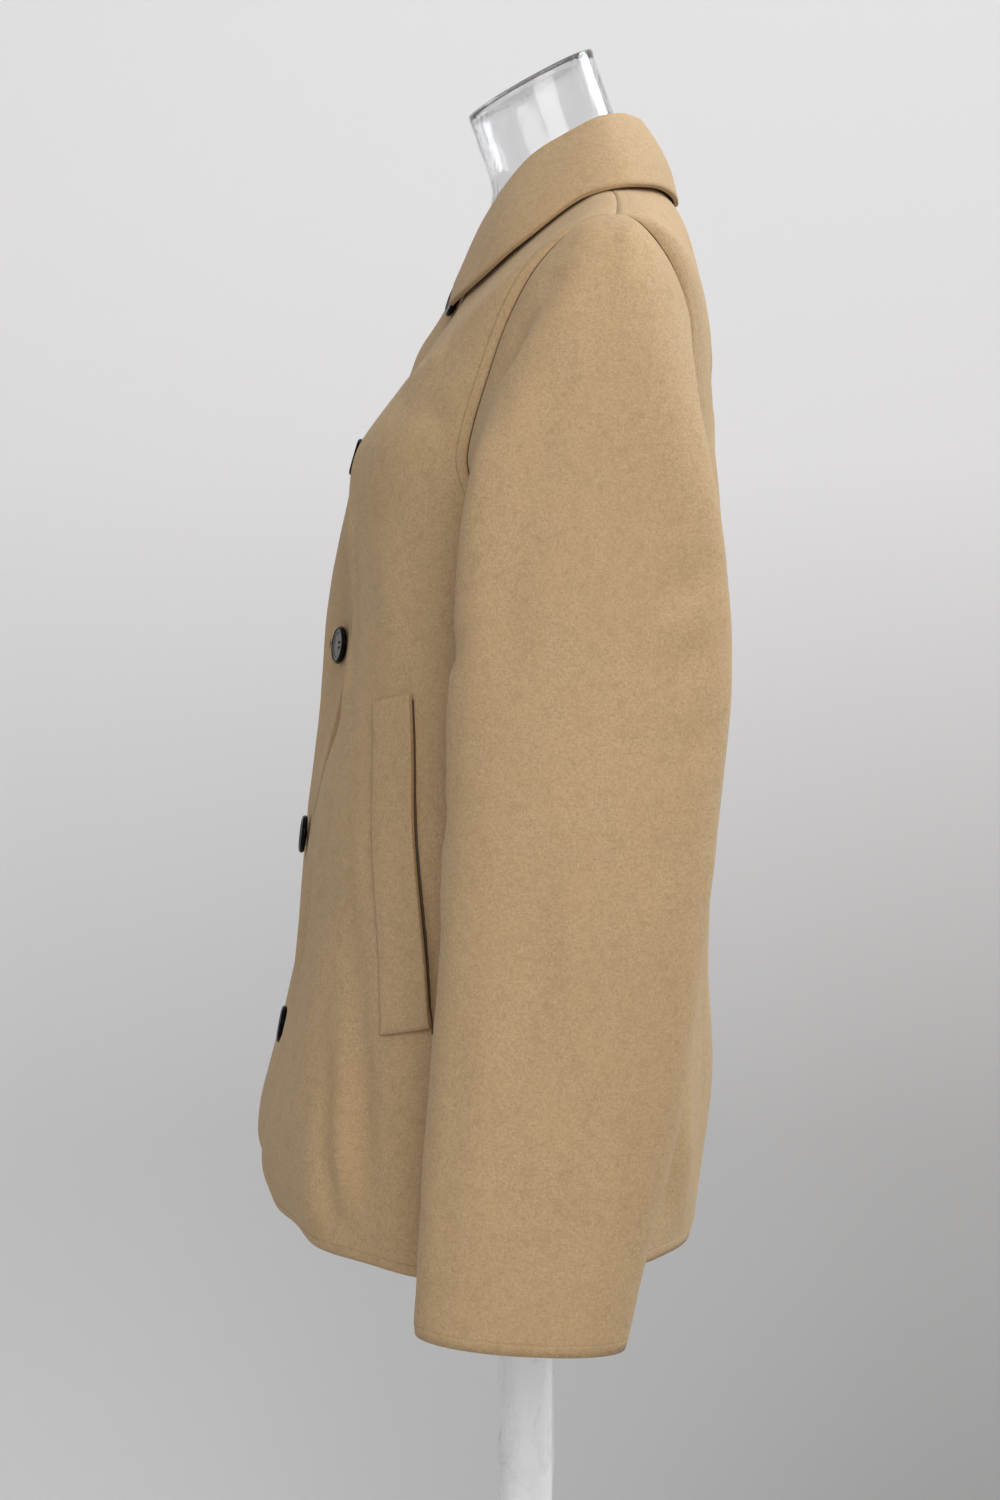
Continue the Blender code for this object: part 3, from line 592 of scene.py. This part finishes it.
frontLeft = makeCloth("front_left", "frontLeft", cuts["front"], woolBody,
                      foldedShape(frontCreases + leftSwell, 1, -1, 1), felledPanel, seamNudge(1))
frontRight = makeCloth("front_right", "frontRight", cuts["front"], woolBody,
                       foldedShape(frontCreases + rightSwell, -1, -1, 2), felledPanel, seamNudge(1))
makeCloth("back", "backPanel", cuts["back"], woolBody, foldedShape(backCreases, 1, 1, 3), felledPanel,
          seamNudge(-1))
makeCloth("sleeve_left", "sleeveLeft", cuts["sleeve"], woolBody,
          foldedShape(sleeveCreases, 1, -1, 4), felledCuff)
makeCloth("sleeve_right", "sleeveRight", cuts["sleeve"], woolBody,
          foldedShape(sleeveCreases, -1, -1, 5), felledCuff)
makeCloth("collar", "collarFall", cuts["collar"], woolShadedCollar, plainShape(6), felledFaintly, collarNudge)


# a welt's front edge is sewn down, and its free rear edge stands off more towards its foot
welt = {"sewnDrop": 0.0009, "sewnShare": 0.22, "openTop": 0.0010, "openFoot": 0.0030, "openFrom": 0.35,
        "endReach": 0.05, "endShare": 0.35, "waveShare": 0.3, "rollShare": 0.7}


def weltShape(points, distance, surface):
    middle = points.mean(axis=0)
    long = np.linalg.svd(points - middle, full_matrices=False)[2][0]
    long = long * np.sign(long[2])
    along = (points - middle) @ long
    up = (along - along.min()) / (along.max() - along.min())
    aside = points[:, 1] - middle[1] - along * long[1]
    across = (aside - aside.min()) / (aside.max() - aside.min())
    opening = welt["openFoot"] + (welt["openTop"] - welt["openFoot"]) * up
    ends = ramp(up, 0.0, welt["endReach"]) * ramp(1.0 - up, 0.0, welt["endReach"])
    standing = welt["endShare"] + (1.0 - welt["endShare"]) * ends
    lift = opening * standing * ramp(across, welt["openFrom"], 1.0)
    lift -= welt["sewnDrop"] * (1.0 - ramp(across, 0.0, welt["sewnShare"]))
    return lift + softWaves(points, 7) * welt["waveShare"] + rolledEdge(distance) * welt["rollShare"]


weltLeft = makeCloth("pocket_welt_left", "weltLeft", cuts["welt"], woolBody, weltShape, felledNowhere)
weltRight = makeCloth("pocket_welt_right", "weltRight", cuts["welt"], woolBody, weltShape, felledNowhere)


def strandsOf(name, paths, radius, swell=(1.0,)):
    # round strands along paths of points, as one plain mesh; swell thickens and thins them by turns
    data = bpy.data.curves.new(name + "Draft", "CURVE")
    data.dimensions = "3D"
    data.bevel_depth = radius
    data.bevel_resolution = 2
    data.use_fill_caps = True
    for path in paths:
        spline = data.splines.new("POLY")
        spline.points.add(len(path) - 1)
        for number, point in enumerate(path):
            spline.points[number].co = (*point, 1.0)
            spline.points[number].radius = swell[number % len(swell)]
    piece = linkObject(name, data)
    mesh = evaluatedMesh(piece)
    bpy.data.objects.remove(piece, do_unlink=True)
    mesh.name = name
    return linkObject(name, mesh)


# buttons: polished black, with a painted highlight on a fine ring and a painted grey reflection in the dished
# middle, sewn on through four holes
button = {
    "radius": 0.0117, "steps": 64, "back": 0.0009, "holeRadius": 0.0010, "holeOffset": 0.0016,
    "floor": 0.0026, "ringAt": 0.745, "ringWidth": 0.035, "dishAt": 0.64,
    "threadRadius": 0.00021, "strands": (-0.00036, 0.0, 0.00036), "shankRadius": 0.0017,
    "black": (0.004, 0.003, 0.003), "dishReflection": (0.300, 0.290, 0.270), "ring": (0.58, 0.57, 0.55),
    "thread": (0.045, 0.036, 0.028), "turns": {1: 12.0, 2: -20.0, 3: 8.0, 4: 33.0, 5: -9.0},
    "dull": 0.62, "dishBlend": 0.06, "ringShare": 0.85, "polish": (0.16, 0.42), "grainScale": 900.0,
    "cloudScale": 160.0, "cloudSquash": 0.4, "grainHeight": 0.00006, "grainStrength": 0.6,
    "sockets": {"Specular IOR Level": 0.07}, "drillSides": 24, "drillDepth": 0.01,
}
sewing = {"rise": 0.00052, "rowFall": 0.4, "foot": 0.0004, "dip": 0.0003, "bend": 0.80, "windFoot": 0.00015,
          "windRise": 0.000034, "windings": 3, "windPoints": 72}
sharpFrom = radians(40.0)
# the turned profile: share of the radius, and height above the shank's top in metres
buttonProfile = [(0.0, 0.0), (0.80, 0.0), (0.90, 0.00012), (0.965, 0.00055), (1.0, 0.00125), (0.998, 0.00190),
                 (0.978, 0.00265), (0.935, 0.00320), (0.880, 0.00346), (0.825, 0.00345), (0.785, 0.00322),
                 (0.763, 0.00296), (0.750, 0.00278), (0.738, 0.00276), (0.722, 0.00288), (0.700, 0.00284),
                 (0.665, 0.00252), (0.615, 0.00208), (0.550, 0.00182), (0.450, 0.00172), (0.0, 0.00170)]


def makeButtonMaterial():
    material, tree, shader = newMaterial("polishedBlack")
    share = attributeOf(tree, "share")
    grain = noiseOf(tree, objectPoint(tree), button["grainScale"], 3.0, 0.6)
    squashed = objectPoint(tree, (1.0, 1.0, button["cloudSquash"]))
    clouds = noiseOf(tree, squashed, button["cloudScale"], 3.0, 0.6)
    # the dish's grey is a painted reflection, mottled by soft clouds
    dull = [c * button["dull"] for c in button["dishReflection"]]
    dishReflectionTone = mixOf(tree, rangeOf(tree, clouds, 0.3, 0.7), dull, button["dishReflection"])
    dishEnd = button["dishAt"] + button["dishBlend"]
    inDish = rangeOf(tree, share, button["dishAt"], dishEnd, 1.0, 0.0, True)
    colour = mixOf(tree, inDish, button["black"], dishReflectionTone)
    # a painted highlight along the fine ring at the groove
    ringHighlight = lineAt(tree, share, button["ringAt"], button["ringWidth"])
    colour = mixOf(tree, mathOf(tree, "MULTIPLY", ringHighlight, button["ringShare"]), colour, button["ring"])
    tree.links.new(colour, shader.inputs["Base Color"])
    tree.links.new(rangeOf(tree, inDish, 0.0, 1.0, *button["polish"]), shader.inputs["Roughness"])
    setSockets(shader, button["sockets"])
    bumpOf(tree, shader, grain, button["grainHeight"], button["grainStrength"])
    return material


yarn = {"scale": 2600.0, "squash": 0.35, "dark": 0.6, "height": 0.0001, "strength": 0.8,
        "sockets": {"Roughness": 0.75, "Sheen Weight": 0.15}}


def makeThread(name, colour):
    material, tree, shader = newMaterial(name)
    ply = noiseOf(tree, objectPoint(tree, (1.0, yarn["squash"], 1.0)), yarn["scale"], 3.0, 0.6)
    tone = mixOf(tree, rangeOf(tree, ply, 0.35, 0.65), [c * yarn["dark"] for c in colour], colour)
    tree.links.new(tone, shader.inputs["Base Color"])
    setSockets(shader, yarn["sockets"])
    bumpOf(tree, shader, ply, yarn["height"], yarn["strength"])
    return material


def buttonPlace(nodeName):
    # where a button sits: its axis is the thinnest way through the node, and points forward
    points = readPoints(nodes[nodeName].data)
    middle = points.mean(axis=0)
    axis = np.linalg.svd(points - middle, full_matrices=False)[2][2]
    axis = axis * np.sign(-axis[1])
    foot = middle + axis * ((points - middle) @ axis).min()
    place = Vector(axis).to_track_quat("Z", "Y").to_matrix().to_4x4()
    place.translation = Vector(foot)
    return place


def turnedForm(profile, steps):
    # a form spun about the upright axis from its outline of radii and heights
    form = bmesh.new()
    points = [form.verts.new((radius, 0.0, height)) for radius, height in profile]
    edges = [form.edges.new(pair) for pair in zip(points, points[1:])]
    bmesh.ops.spin(form, geom=points + edges, cent=(0, 0, 0), axis=(0, 0, 1), angle=2 * pi,
                   steps=steps, use_merge=True)
    bmesh.ops.remove_doubles(form, verts=form.verts, dist=1e-6)
    bmesh.ops.recalc_face_normals(form, faces=form.faces)
    return form


def drilledButton():
    # one button about the origin, with its four holes cut through
    profile = [(share * button["radius"], button["back"] + height) for share, height in buttonProfile]
    blank = formPiece(turnedForm(profile, button["steps"]), "buttonBlank")
    drills = bmesh.new()
    for x in (-1, 1):
        for y in (-1, 1):
            place = Matrix.Translation((x * button["holeOffset"], y * button["holeOffset"], button["floor"]))
            bmesh.ops.create_cone(drills, cap_ends=True, segments=button["drillSides"], matrix=place,
                                  radius1=button["holeRadius"], radius2=button["holeRadius"],
                                  depth=button["drillDepth"])
    cutter = formPiece(drills, "buttonDrills")
    cut = blank.modifiers.new("holes", "BOOLEAN")
    cut.operation = "DIFFERENCE"
    cut.object = cutter
    settle(blank)
    bpy.data.objects.remove(cutter, do_unlink=True)
    return blank


def sewingPaths():
    # strands over the two bars between the holes, then round the shank below
    offset, floor, paths = button["holeOffset"], button["floor"], []
    foot, low, bend = sewing["foot"], floor - sewing["dip"], offset * sewing["bend"]
    for row in (-offset, offset):
        for shift in button["strands"]:
            rise = sewing["rise"] - abs(shift) * sewing["rowFall"]
            half = [(offset * 0.4, floor + rise), (bend, floor + rise * 0.7), (offset, low), (offset, foot)]
            arch = [(-x, z) for x, z in reversed(half)] + half
            paths.append([(x, row + shift, z) for x, z in arch])
    turns = np.linspace(0.0, 2.0 * pi * sewing["windings"], sewing["windPoints"])
    return paths + [[(button["shankRadius"] * cos(turn), button["shankRadius"] * sin(turn),
                      sewing["windFoot"] + turn * sewing["windRise"]) for turn in turns]]


def placedCopy(mesh, name, place):
    copy = mesh.copy()
    copy.name = name
    copy.transform(place)
    return linkObject(name, copy)


def makeButtons():
    blank = drilledButton()
    sewn = strandsOf("buttonSewing", sewingPaths(), button["threadRadius"])
    radii = np.hypot(*readPoints(blank.data)[:, :2].T)
    writeAttribute(blank.data, "share", radii / button["radius"])
    blank.data.shade_smooth()
    blank.data.set_sharp_from_angle(angle=sharpFrom)
    polish, thread = makeButtonMaterial(), makeThread("buttonThread", button["thread"])
    for number, turn in button["turns"].items():
        place = buttonPlace(f"button_{number}") @ Matrix.Rotation(radians(turn), 4, "Z")
        body = placedCopy(blank.data, f"button{number}", place)
        finishPiece(body, polish, "button", f"button_{number}")
        body.data.set_sharp_from_angle(angle=sharpFrom)
        finishPiece(placedCopy(sewn.data, f"buttonThread{number}", place), thread, "cloth")
    for draft in (blank, sewn):
        bpy.data.objects.remove(draft, do_unlink=True)
    print("buttons made")


makeButtons()


# each pocket's mouth: a dark cord of painted shade, sunk into the front just behind the welt's free edge
mouth = {"radius": 0.0014, "behind": 0.0005, "sink": 0.0005, "stations": 60, "inset": 0.004, "band": 0.004,
         "thinnest": 0.35, "thickFrom": 0.92, "thickRun": 0.80, "tone": (0.105, 0.062, 0.028)}


def makeMouthShadow(name, weltPiece, front, side):
    points = readPoints(weltPiece.data)
    surface = surfaceOf(front)
    low, high = points[:, 2].min() + mouth["inset"], points[:, 2].max() - mouth["inset"]
    path, swell = [], []
    for share in np.linspace(0.0, 1.0, mouth["stations"]):
        height = low + (high - low) * share
        level = points[np.abs(points[:, 2] - height) < mouth["band"]]
        rear = level[:, 1].max() + mouth["behind"]
        hit, normal = surface.ray_cast(Vector((side * 1.0, rear, height)), Vector((-side, 0.0, 0.0)))[:2]
        if hit is not None:
            path.append(hit - normal * mouth["sink"])
            thick = sin(pi * (mouth["thickFrom"] - mouth["thickRun"] * share))
            swell.append(mouth["thinnest"] + (1.0 - mouth["thinnest"]) * thick)
    cord = strandsOf(name, [path], mouth["radius"], swell)
    finishPiece(cord, makeThread(name + "Shade", mouth["tone"]), "cloth")


makeMouthShadow("pocketMouthShadowLeft", weltLeft, frontLeft, 1)
makeMouthShadow("pocketMouthShadowRight", weltRight, frontRight, -1)


# buttonholes in the outer front: two corded lips round a slit drawn as a dark strand of painted shade, with a
# bar at the inner end
buttonhole = {"outer": 0.0032, "inner": -0.0215, "half": 0.00125, "cord": 0.00062, "slit": 0.00042,
              "points": 88, "lift": 0.0002, "lengthen": 1.25, "flatten": 2.2, "barReach": 2.0,
              "barPoints": 12, "slitInset": 0.001, "slitPoints": 24, "twist": (1.0, 0.78),
              "cordTone": (0.430, 0.290, 0.160), "slitTone": (0.020, 0.014, 0.010)}


def onCloth(surface, x, z, lift):
    # the point of the cloth that lies at this place seen from the front, a little lifted
    hit, normal = surface.ray_cast(Vector((x, -1.0, z)), Vector((0.0, 1.0, 0.0)))[:2]
    return hit + normal * lift


def makeButtonholes():
    surface = surfaceOf(frontRight)
    cords, slits = [], []
    half, inner, outer = buttonhole["half"], buttonhole["inner"], buttonhole["outer"]
    ring = []
    for turn in np.linspace(0.0, 2 * pi, buttonhole["points"], endpoint=False):
        along = np.clip(buttonhole["lengthen"] * cos(turn), -1.0, 1.0)
        across = np.clip(buttonhole["flatten"] * sin(turn), -1.0, 1.0)
        ring.append((0.5 * (inner + outer) + 0.5 * (outer - inner) * along, half * across))
    reach = buttonhole["barReach"] * half
    bar = [(inner, z) for z in np.linspace(-reach, reach, buttonhole["barPoints"])]
    inset = buttonhole["slitInset"]
    slit = [(x, 0.0) for x in np.linspace(inner + inset, outer - inset, buttonhole["slitPoints"])]
    for number in button["turns"]:
        middle = buttonPlace(f"button_{number}").translation
        for places, lift, paths in ((ring, buttonhole["lift"], cords), (bar, buttonhole["lift"], cords),
                                    (slit, 0.0, slits)):
            paths.append([onCloth(surface, middle.x + x, middle.z + z, lift) for x, z in places])
    finishPiece(strandsOf("buttonholeCords", cords, buttonhole["cord"], buttonhole["twist"]),
                makeThread("cordThread", buttonhole["cordTone"]), "cloth")
    finishPiece(strandsOf("buttonholeSlitShadows", slits, buttonhole["slit"]),
                makeThread("slitShade", buttonhole["slitTone"]), "cloth")
    print("buttonholes made")


makeButtonholes()


# the dress form: a clear moulded shell, whose closed neck is cut off at a slant
clearForm = {"capLean": 28.5, "capFrom": 1.44, "footTo": 0.90, "wall": 0.0020, "inset": 0.0016,
             "steps": 2, "rimShadeBand": 0.0030, "tint": (0.935, 0.935, 0.94), "smearTint": (0.88, 0.88, 0.885),
             "rimShadeTint": (0.78, 0.78, 0.79), "rimBlend": 0.6, "rimCrease": 0.85, "flatFrom": 0.98,
             "insets": (1, 9), "smearScale": 60.0, "smearLean": -19.0, "smearSquash": 0.25,
             "smearHeight": 0.0024, "smearStrength": 0.55, "smearRange": (0.35, 0.75),
             "smearRough": (0.40, 0.80, 0.04, 0.16),
             "sockets": {"IOR": 1.16, "Transmission Weight": 1.0, "Coat Weight": 0.45,
                         "Coat Roughness": 0.08}}


def makeClearPlastic():
    material, tree, shader = newMaterial("clearPlastic")
    band = attributeOf(tree, "rimShadeBand")
    lean = (radians(clearForm["smearLean"]), 0.0, 0.0)
    leaning = objectPoint(tree, (1.0, 1.0, clearForm["smearSquash"]), lean)
    smears = noiseOf(tree, leaning, clearForm["smearScale"], 4.0, 0.6, 0.8)
    smeared = rangeOf(tree, smears, *clearForm["smearRange"])
    tone = mixOf(tree, smeared, clearForm["tint"], clearForm["smearTint"])
    # painted shade: a greyer band along the cap's rim
    tree.links.new(mixOf(tree, band, tone, clearForm["rimShadeTint"]), shader.inputs["Base Color"])
    tree.links.new(rangeOf(tree, smears, *clearForm["smearRough"]), shader.inputs["Roughness"])
    setSockets(shader, clearForm["sockets"])
    bumpOf(tree, shader, smears, clearForm["smearHeight"], clearForm["smearStrength"])
    return material


def makeClearForm():
    form = mergedCopy("dress_form")
    lean = radians(clearForm["capLean"])
    upward = Vector((0.0, -sin(lean), cos(lean)))
    crease = form.edges.layers.float.new("crease_edge")
    down = Vector((0.0, 0.0, -1.0))
    for way, low, high in ((upward, clearForm["capFrom"], inf), (down, -inf, clearForm["footTo"])):
        flat = [face for face in form.faces if face.normal.dot(way) > clearForm["flatFrom"]
                and low < face.calc_center_median().z < high]
        bmesh.ops.delete(form, geom=flat, context="FACES")
        rim = [edge for edge in form.edges if edge.is_boundary]
        for edge in rim:
            edge[crease] = clearForm["rimCrease"]
        lid = bmesh.ops.contextual_create(form, geom=rim)["faces"]
        for share in clearForm["insets"]:
            bmesh.ops.inset_region(form, faces=lid, thickness=clearForm["inset"] * share)
    bmesh.ops.recalc_face_normals(form, faces=form.faces)
    piece = smoothForm(form, "clearForm", clearForm["steps"])
    thicken(piece, clearForm["wall"], -1.0)
    points = readPoints(piece.data)
    # where the painted shade of the cap's rim lies: a thin band below its top
    height = points @ np.array(upward)
    bandFoot = height.max() - clearForm["rimShadeBand"]
    bandTop = height.max() - clearForm["rimShadeBand"] * clearForm["rimBlend"]
    writeAttribute(piece.data, "rimShadeBand", ramp(height, bandFoot, bandTop))
    finishPiece(piece, makeClearPlastic(), "form", "dress_form")
    print("dress form made", len(piece.data.polygons), "faces")


makeClearForm()


# the stand: a white tube in a loose clear film, in a socket on a round plate
stand = {"steps": 96, "poleRadius": 0.0160, "poleFoot": 0.0123, "poleTop": 0.8650, "socket": 0.026,
         "socketTop": 0.0573, "plate": 0.180, "plateTop": 0.0120,
         "white": (0.97, 0.97, 0.97), "paint": (0.60, 0.60, 0.605), "edge": 0.0015, "plateEdge": 0.003,
         "plateFoot": (0.002, 0.0006), "roundSteps": 7}
# tube and plate are each paint's roughness, grain scale and upright squash
paint = {"tube": (0.38, 300.0, 0.1), "plate": (0.36, 520.0, 1.0), "cloudScale": 14.0, "dim": 0.93,
         "rough": (0.8, 1.2), "height": 0.00008, "strength": 0.5}
film = {"radius": 0.0164, "foot": 0.0600, "top": 0.8550, "sides": 84, "rows": 230, "wall": 0.0001,
        "fold": 0.0019, "crumple": 0.0008, "flap": 0.0030, "flapFrom": 0.60, "flapTo": 0.80,
        "squash": 0.55, "foldScale": 26.0, "foldSharp": 7.0, "crossScale": 62.0, "crossSharp": 6.0,
        "looseScale": 14.0, "looseGain": 1.6, "shift": 0.004, "foldShow": 0.75, "crossShow": 0.35,
        "clear": (0.97, 0.97, 0.975), "crease": (1.0, 1.0, 1.0), "cover": (0.10, 0.62),
        "fineScale": 220.0, "fineHeight": 0.0006, "fineStrength": 0.6,
        "sockets": {"Roughness": 0.14, "Coat Weight": 0.6, "Coat Roughness": 0.06}}


def makePaint(name, tone, roughness, grainScale, squash):
    material, tree, shader = newMaterial(name)
    grain = noiseOf(tree, objectPoint(tree, (1.0, 1.0, squash)), grainScale, 4.0, 0.6)
    cloud = noiseOf(tree, objectPoint(tree), paint["cloudScale"], 3.0, 0.5)
    shade = mixOf(tree, rangeOf(tree, cloud, 0.3, 0.7), [c * paint["dim"] for c in tone], tone)
    tree.links.new(shade, shader.inputs["Base Color"])
    smooth, rough = (roughness * share for share in paint["rough"])
    tree.links.new(rangeOf(tree, grain, 0.3, 0.7, smooth, rough), shader.inputs["Roughness"])
    bumpOf(tree, shader, grain, paint["height"], paint["strength"])
    return material


def makeFilmMaterial():
    material, tree, shader = newMaterial("clearFilm")
    folds = attributeOf(tree, "fold")
    fine = noiseOf(tree, objectPoint(tree), film["fineScale"], 4.0, 0.65, 1.2)
    tree.links.new(mixOf(tree, folds, film["clear"], film["crease"]), shader.inputs["Base Color"])
    tree.links.new(rangeOf(tree, folds, 0.0, 1.0, *film["cover"]), shader.inputs["Alpha"])
    setSockets(shader, film["sockets"])
    bumpOf(tree, shader, fine, film["fineHeight"], film["fineStrength"])
    return material


def turnedPiece(name, profile, material, slot, node):
    piece = formPiece(turnedForm(profile, stand["steps"]), name)
    finishPiece(piece, material, slot, node)
    piece.data.set_sharp_from_angle(angle=sharpFrom)


def makePole():
    edge, foot, top = stand["edge"], stand["poleFoot"], stand["poleTop"]
    socket, socketTop, pole = stand["socket"], stand["socketTop"], stand["poleRadius"]
    profile = [(0.0, foot), (socket - edge, foot), (socket, foot + edge), (socket, socketTop - 3 * edge),
               (socket - 0.3 * edge, socketTop - 2 * edge), (socket - 1.2 * edge, socketTop - edge),
               (socket - 2.6 * edge, socketTop), (pole + edge, socketTop), (pole, socketTop + edge),
               (pole, top - edge), (pole - edge, top), (0.0, top)]
    tube = makePaint("whiteTube", stand["white"], *paint["tube"])
    turnedPiece("standPole", profile, tube, "pole", "stand_pole")


def makePlate():
    edge, wide, top = stand["plateEdge"], stand["plate"], stand["plateTop"]
    rounds = [(wide - edge + edge * sin(turn), top - edge + edge * cos(turn))
              for turn in np.linspace(pi / 2, 0.0, stand["roundSteps"])]
    foot, bevel = stand["plateFoot"]
    profile = [(0.0, 0.0), (wide - foot, 0.0), (wide - bevel, bevel), (wide, foot), *rounds, (0.0, top)]
    satin = makePaint("satinPaint", stand["paint"], *paint["plate"])
    turnedPiece("standPlate", profile, satin, "base", "stand_base")


def creased(points, scale, seed, sharpness):
    # 1 along thin winding lines and 0 between them
    return 1.0 - np.clip(np.abs(softNoise(points, scale, seed)) * sharpness, 0.0, 1.0)


def makeFilm():
    # a tube of rings, crumpled outwards: folds run across it, and it stands off at the front near its top
    rings = [(film["radius"], height) for height in np.linspace(film["foot"], film["top"], film["rows"])]
    piece = formPiece(turnedForm(rings, film["sides"]), "poleFilm")
    place = readPoints(piece.data)
    around = place * np.array([1.0, 1.0, film["squash"]])
    sharp = creased(around, film["foldScale"], 11, film["foldSharp"])
    cross = creased(around + sharp[:, None] * film["shift"], film["crossScale"], 12, film["crossSharp"])
    loose = np.clip(softNoise(around, film["looseScale"], 13) * film["looseGain"] + 0.5, 0.0, 1.0)
    facing = np.clip(-place[:, 1] / film["radius"], 0.0, 1.0) ** 2
    grow = (film["fold"] * sharp * loose + film["crumple"] * cross
            + film["flap"] * facing * ramp(place[:, 2], film["flapFrom"], film["flapTo"]) * loose)
    outward = place * np.array([1.0, 1.0, 0.0]) / film["radius"]
    writePoints(piece.data, place + outward * grow[:, None])
    shown = film["foldShow"] * sharp ** 2 * loose + film["crossShow"] * cross ** 3
    writeAttribute(piece.data, "fold", np.clip(shown, 0.0, 1.0))
    thicken(piece, film["wall"], 1.0)
    finishPiece(piece, makeFilmMaterial(), "pole")
    print("pole film made", len(piece.data.polygons), "faces")


makePole()
makePlate()
makeFilm()


# the studio: a pale floor that curves up behind, a camera at the photograph's angle, and soft lights
studio = {
    "lens": 79.2, "place": (2.05, -0.017, 1.262), "pitch": 5.19,
    "wallX": -1.35, "curve": 0.55, "floorReach": 3.0, "wide": 7.0, "tall": 3.6,
    "paper": (0.95, 0.935, 0.93), "paperShade": (0.42, 0.415, 0.41), "curveSteps": 14,
    "shadeUp": (0.20, 1.25, 1.0, 0.06), "shadeAcross": (-0.60, 0.50, 0.36, 1.0), "sensor": 36.0,
    "paperSockets": {"Roughness": 0.9, "Specular IOR Level": 0.1},
    "air": (0.96, 0.97, 1.0), "airStrength": 0.31,
}
# each light's place, aim, size, power, tone and spread
lights = {
    "keyLight": ((2.6, 0.7, 2.3), (0.0, 0.0, 1.15), 1.8, 52.0, (1.0, 0.985, 0.965), 180.0),
    "topLight": ((0.1, 0.5, 3.3), (0.0, 0.0, 1.0), 1.8, 15.5, (0.95, 0.98, 1.0), 180.0),
    "frontLight": ((1.2, -2.3, 2.3), (0.0, 0.0, 1.25), 1.6, 7.5, (0.97, 0.98, 1.0), 180.0),
    "rearLight": ((-1.0, 1.7, 2.5), (0.0, 0.0, 1.3), 1.2, 16.0, (0.90, 0.96, 1.0), 100.0),
}


def makeCamera():
    data = bpy.data.cameras.new("view")
    data.lens = studio["lens"]
    data.sensor_width = studio["sensor"]
    camera = linkObject("view", data)
    camera.location = studio["place"]
    camera.rotation_euler = (radians(90.0 - studio["pitch"]), 0.0, radians(90.0))
    bpy.context.scene.camera = camera


def makeBackdrop():
    form = bmesh.new()
    side, curve, wallX = -studio["wide"] / 2, studio["curve"], studio["wallX"]
    bend = [(wallX + curve - curve * sin(turn), curve * (1.0 - cos(turn)))
            for turn in np.linspace(0.0, pi / 2, studio["curveSteps"])]
    outline = [(studio["floorReach"], 0.0), *bend, (wallX, studio["tall"])]
    line = [form.verts.new((x, side, z)) for x, z in outline]
    edges = [form.edges.new(pair) for pair in zip(line, line[1:])]
    grown = bmesh.ops.extrude_edge_only(form, edges=edges)
    moved = [part for part in grown["geom"] if isinstance(part, bmesh.types.BMVert)]
    bmesh.ops.translate(form, verts=moved, vec=(0.0, studio["wide"], 0.0))
    bmesh.ops.recalc_face_normals(form, faces=form.faces)
    if max(form.faces, key=lambda face: face.calc_center_median().z).normal.x < 0.0:
        bmesh.ops.reverse_faces(form, faces=form.faces)
    backdrop = formPiece(form, "backdrop")
    backdrop.data.shade_smooth()
    material, tree, shader = newMaterial("palePaper")
    split = tree.nodes.new("ShaderNodeSeparateXYZ")
    tree.links.new(objectPoint(tree), split.inputs["Vector"])
    # painted shade on the paper: darker low down and towards +y
    low = rangeOf(tree, split.outputs["Z"], *studio["shadeUp"])
    right = rangeOf(tree, split.outputs["Y"], *studio["shadeAcross"], True)
    shade = mathOf(tree, "MULTIPLY", low, right)
    tree.links.new(mixOf(tree, shade, studio["paper"], studio["paperShade"]), shader.inputs["Base Color"])
    setSockets(shader, studio["paperSockets"])
    # the paper is seen only from its front, so views from behind it still show the jacket
    facing = tree.nodes.new("ShaderNodeNewGeometry")
    tree.links.new(mathOf(tree, "SUBTRACT", 1.0, facing.outputs["Backfacing"]), shader.inputs["Alpha"])
    backdrop.data.materials.append(material)


def makeLights():
    for name, (place, aim, size, power, tone, spread) in lights.items():
        data = bpy.data.lights.new(name, "AREA")
        data.shape = "RECTANGLE"
        data.size = data.size_y = size
        data.energy = power
        data.color = tone
        data.spread = radians(spread)
        made = linkObject(name, data)
        made.location = place
        made.rotation_euler = (Vector(aim) - Vector(place)).to_track_quat("-Z", "Y").to_euler()


def makeAir():
    world = bpy.data.worlds.new("studioAir")
    bpy.context.scene.world = world
    world.use_nodes = True
    air = world.node_tree.nodes["Background"]
    setSockets(air, {"Color": (*studio["air"], 1.0), "Strength": studio["airStrength"]})


makeCamera()
makeBackdrop()
makeLights()
makeAir()
bpy.context.scene.view_settings.view_transform = "Standard"
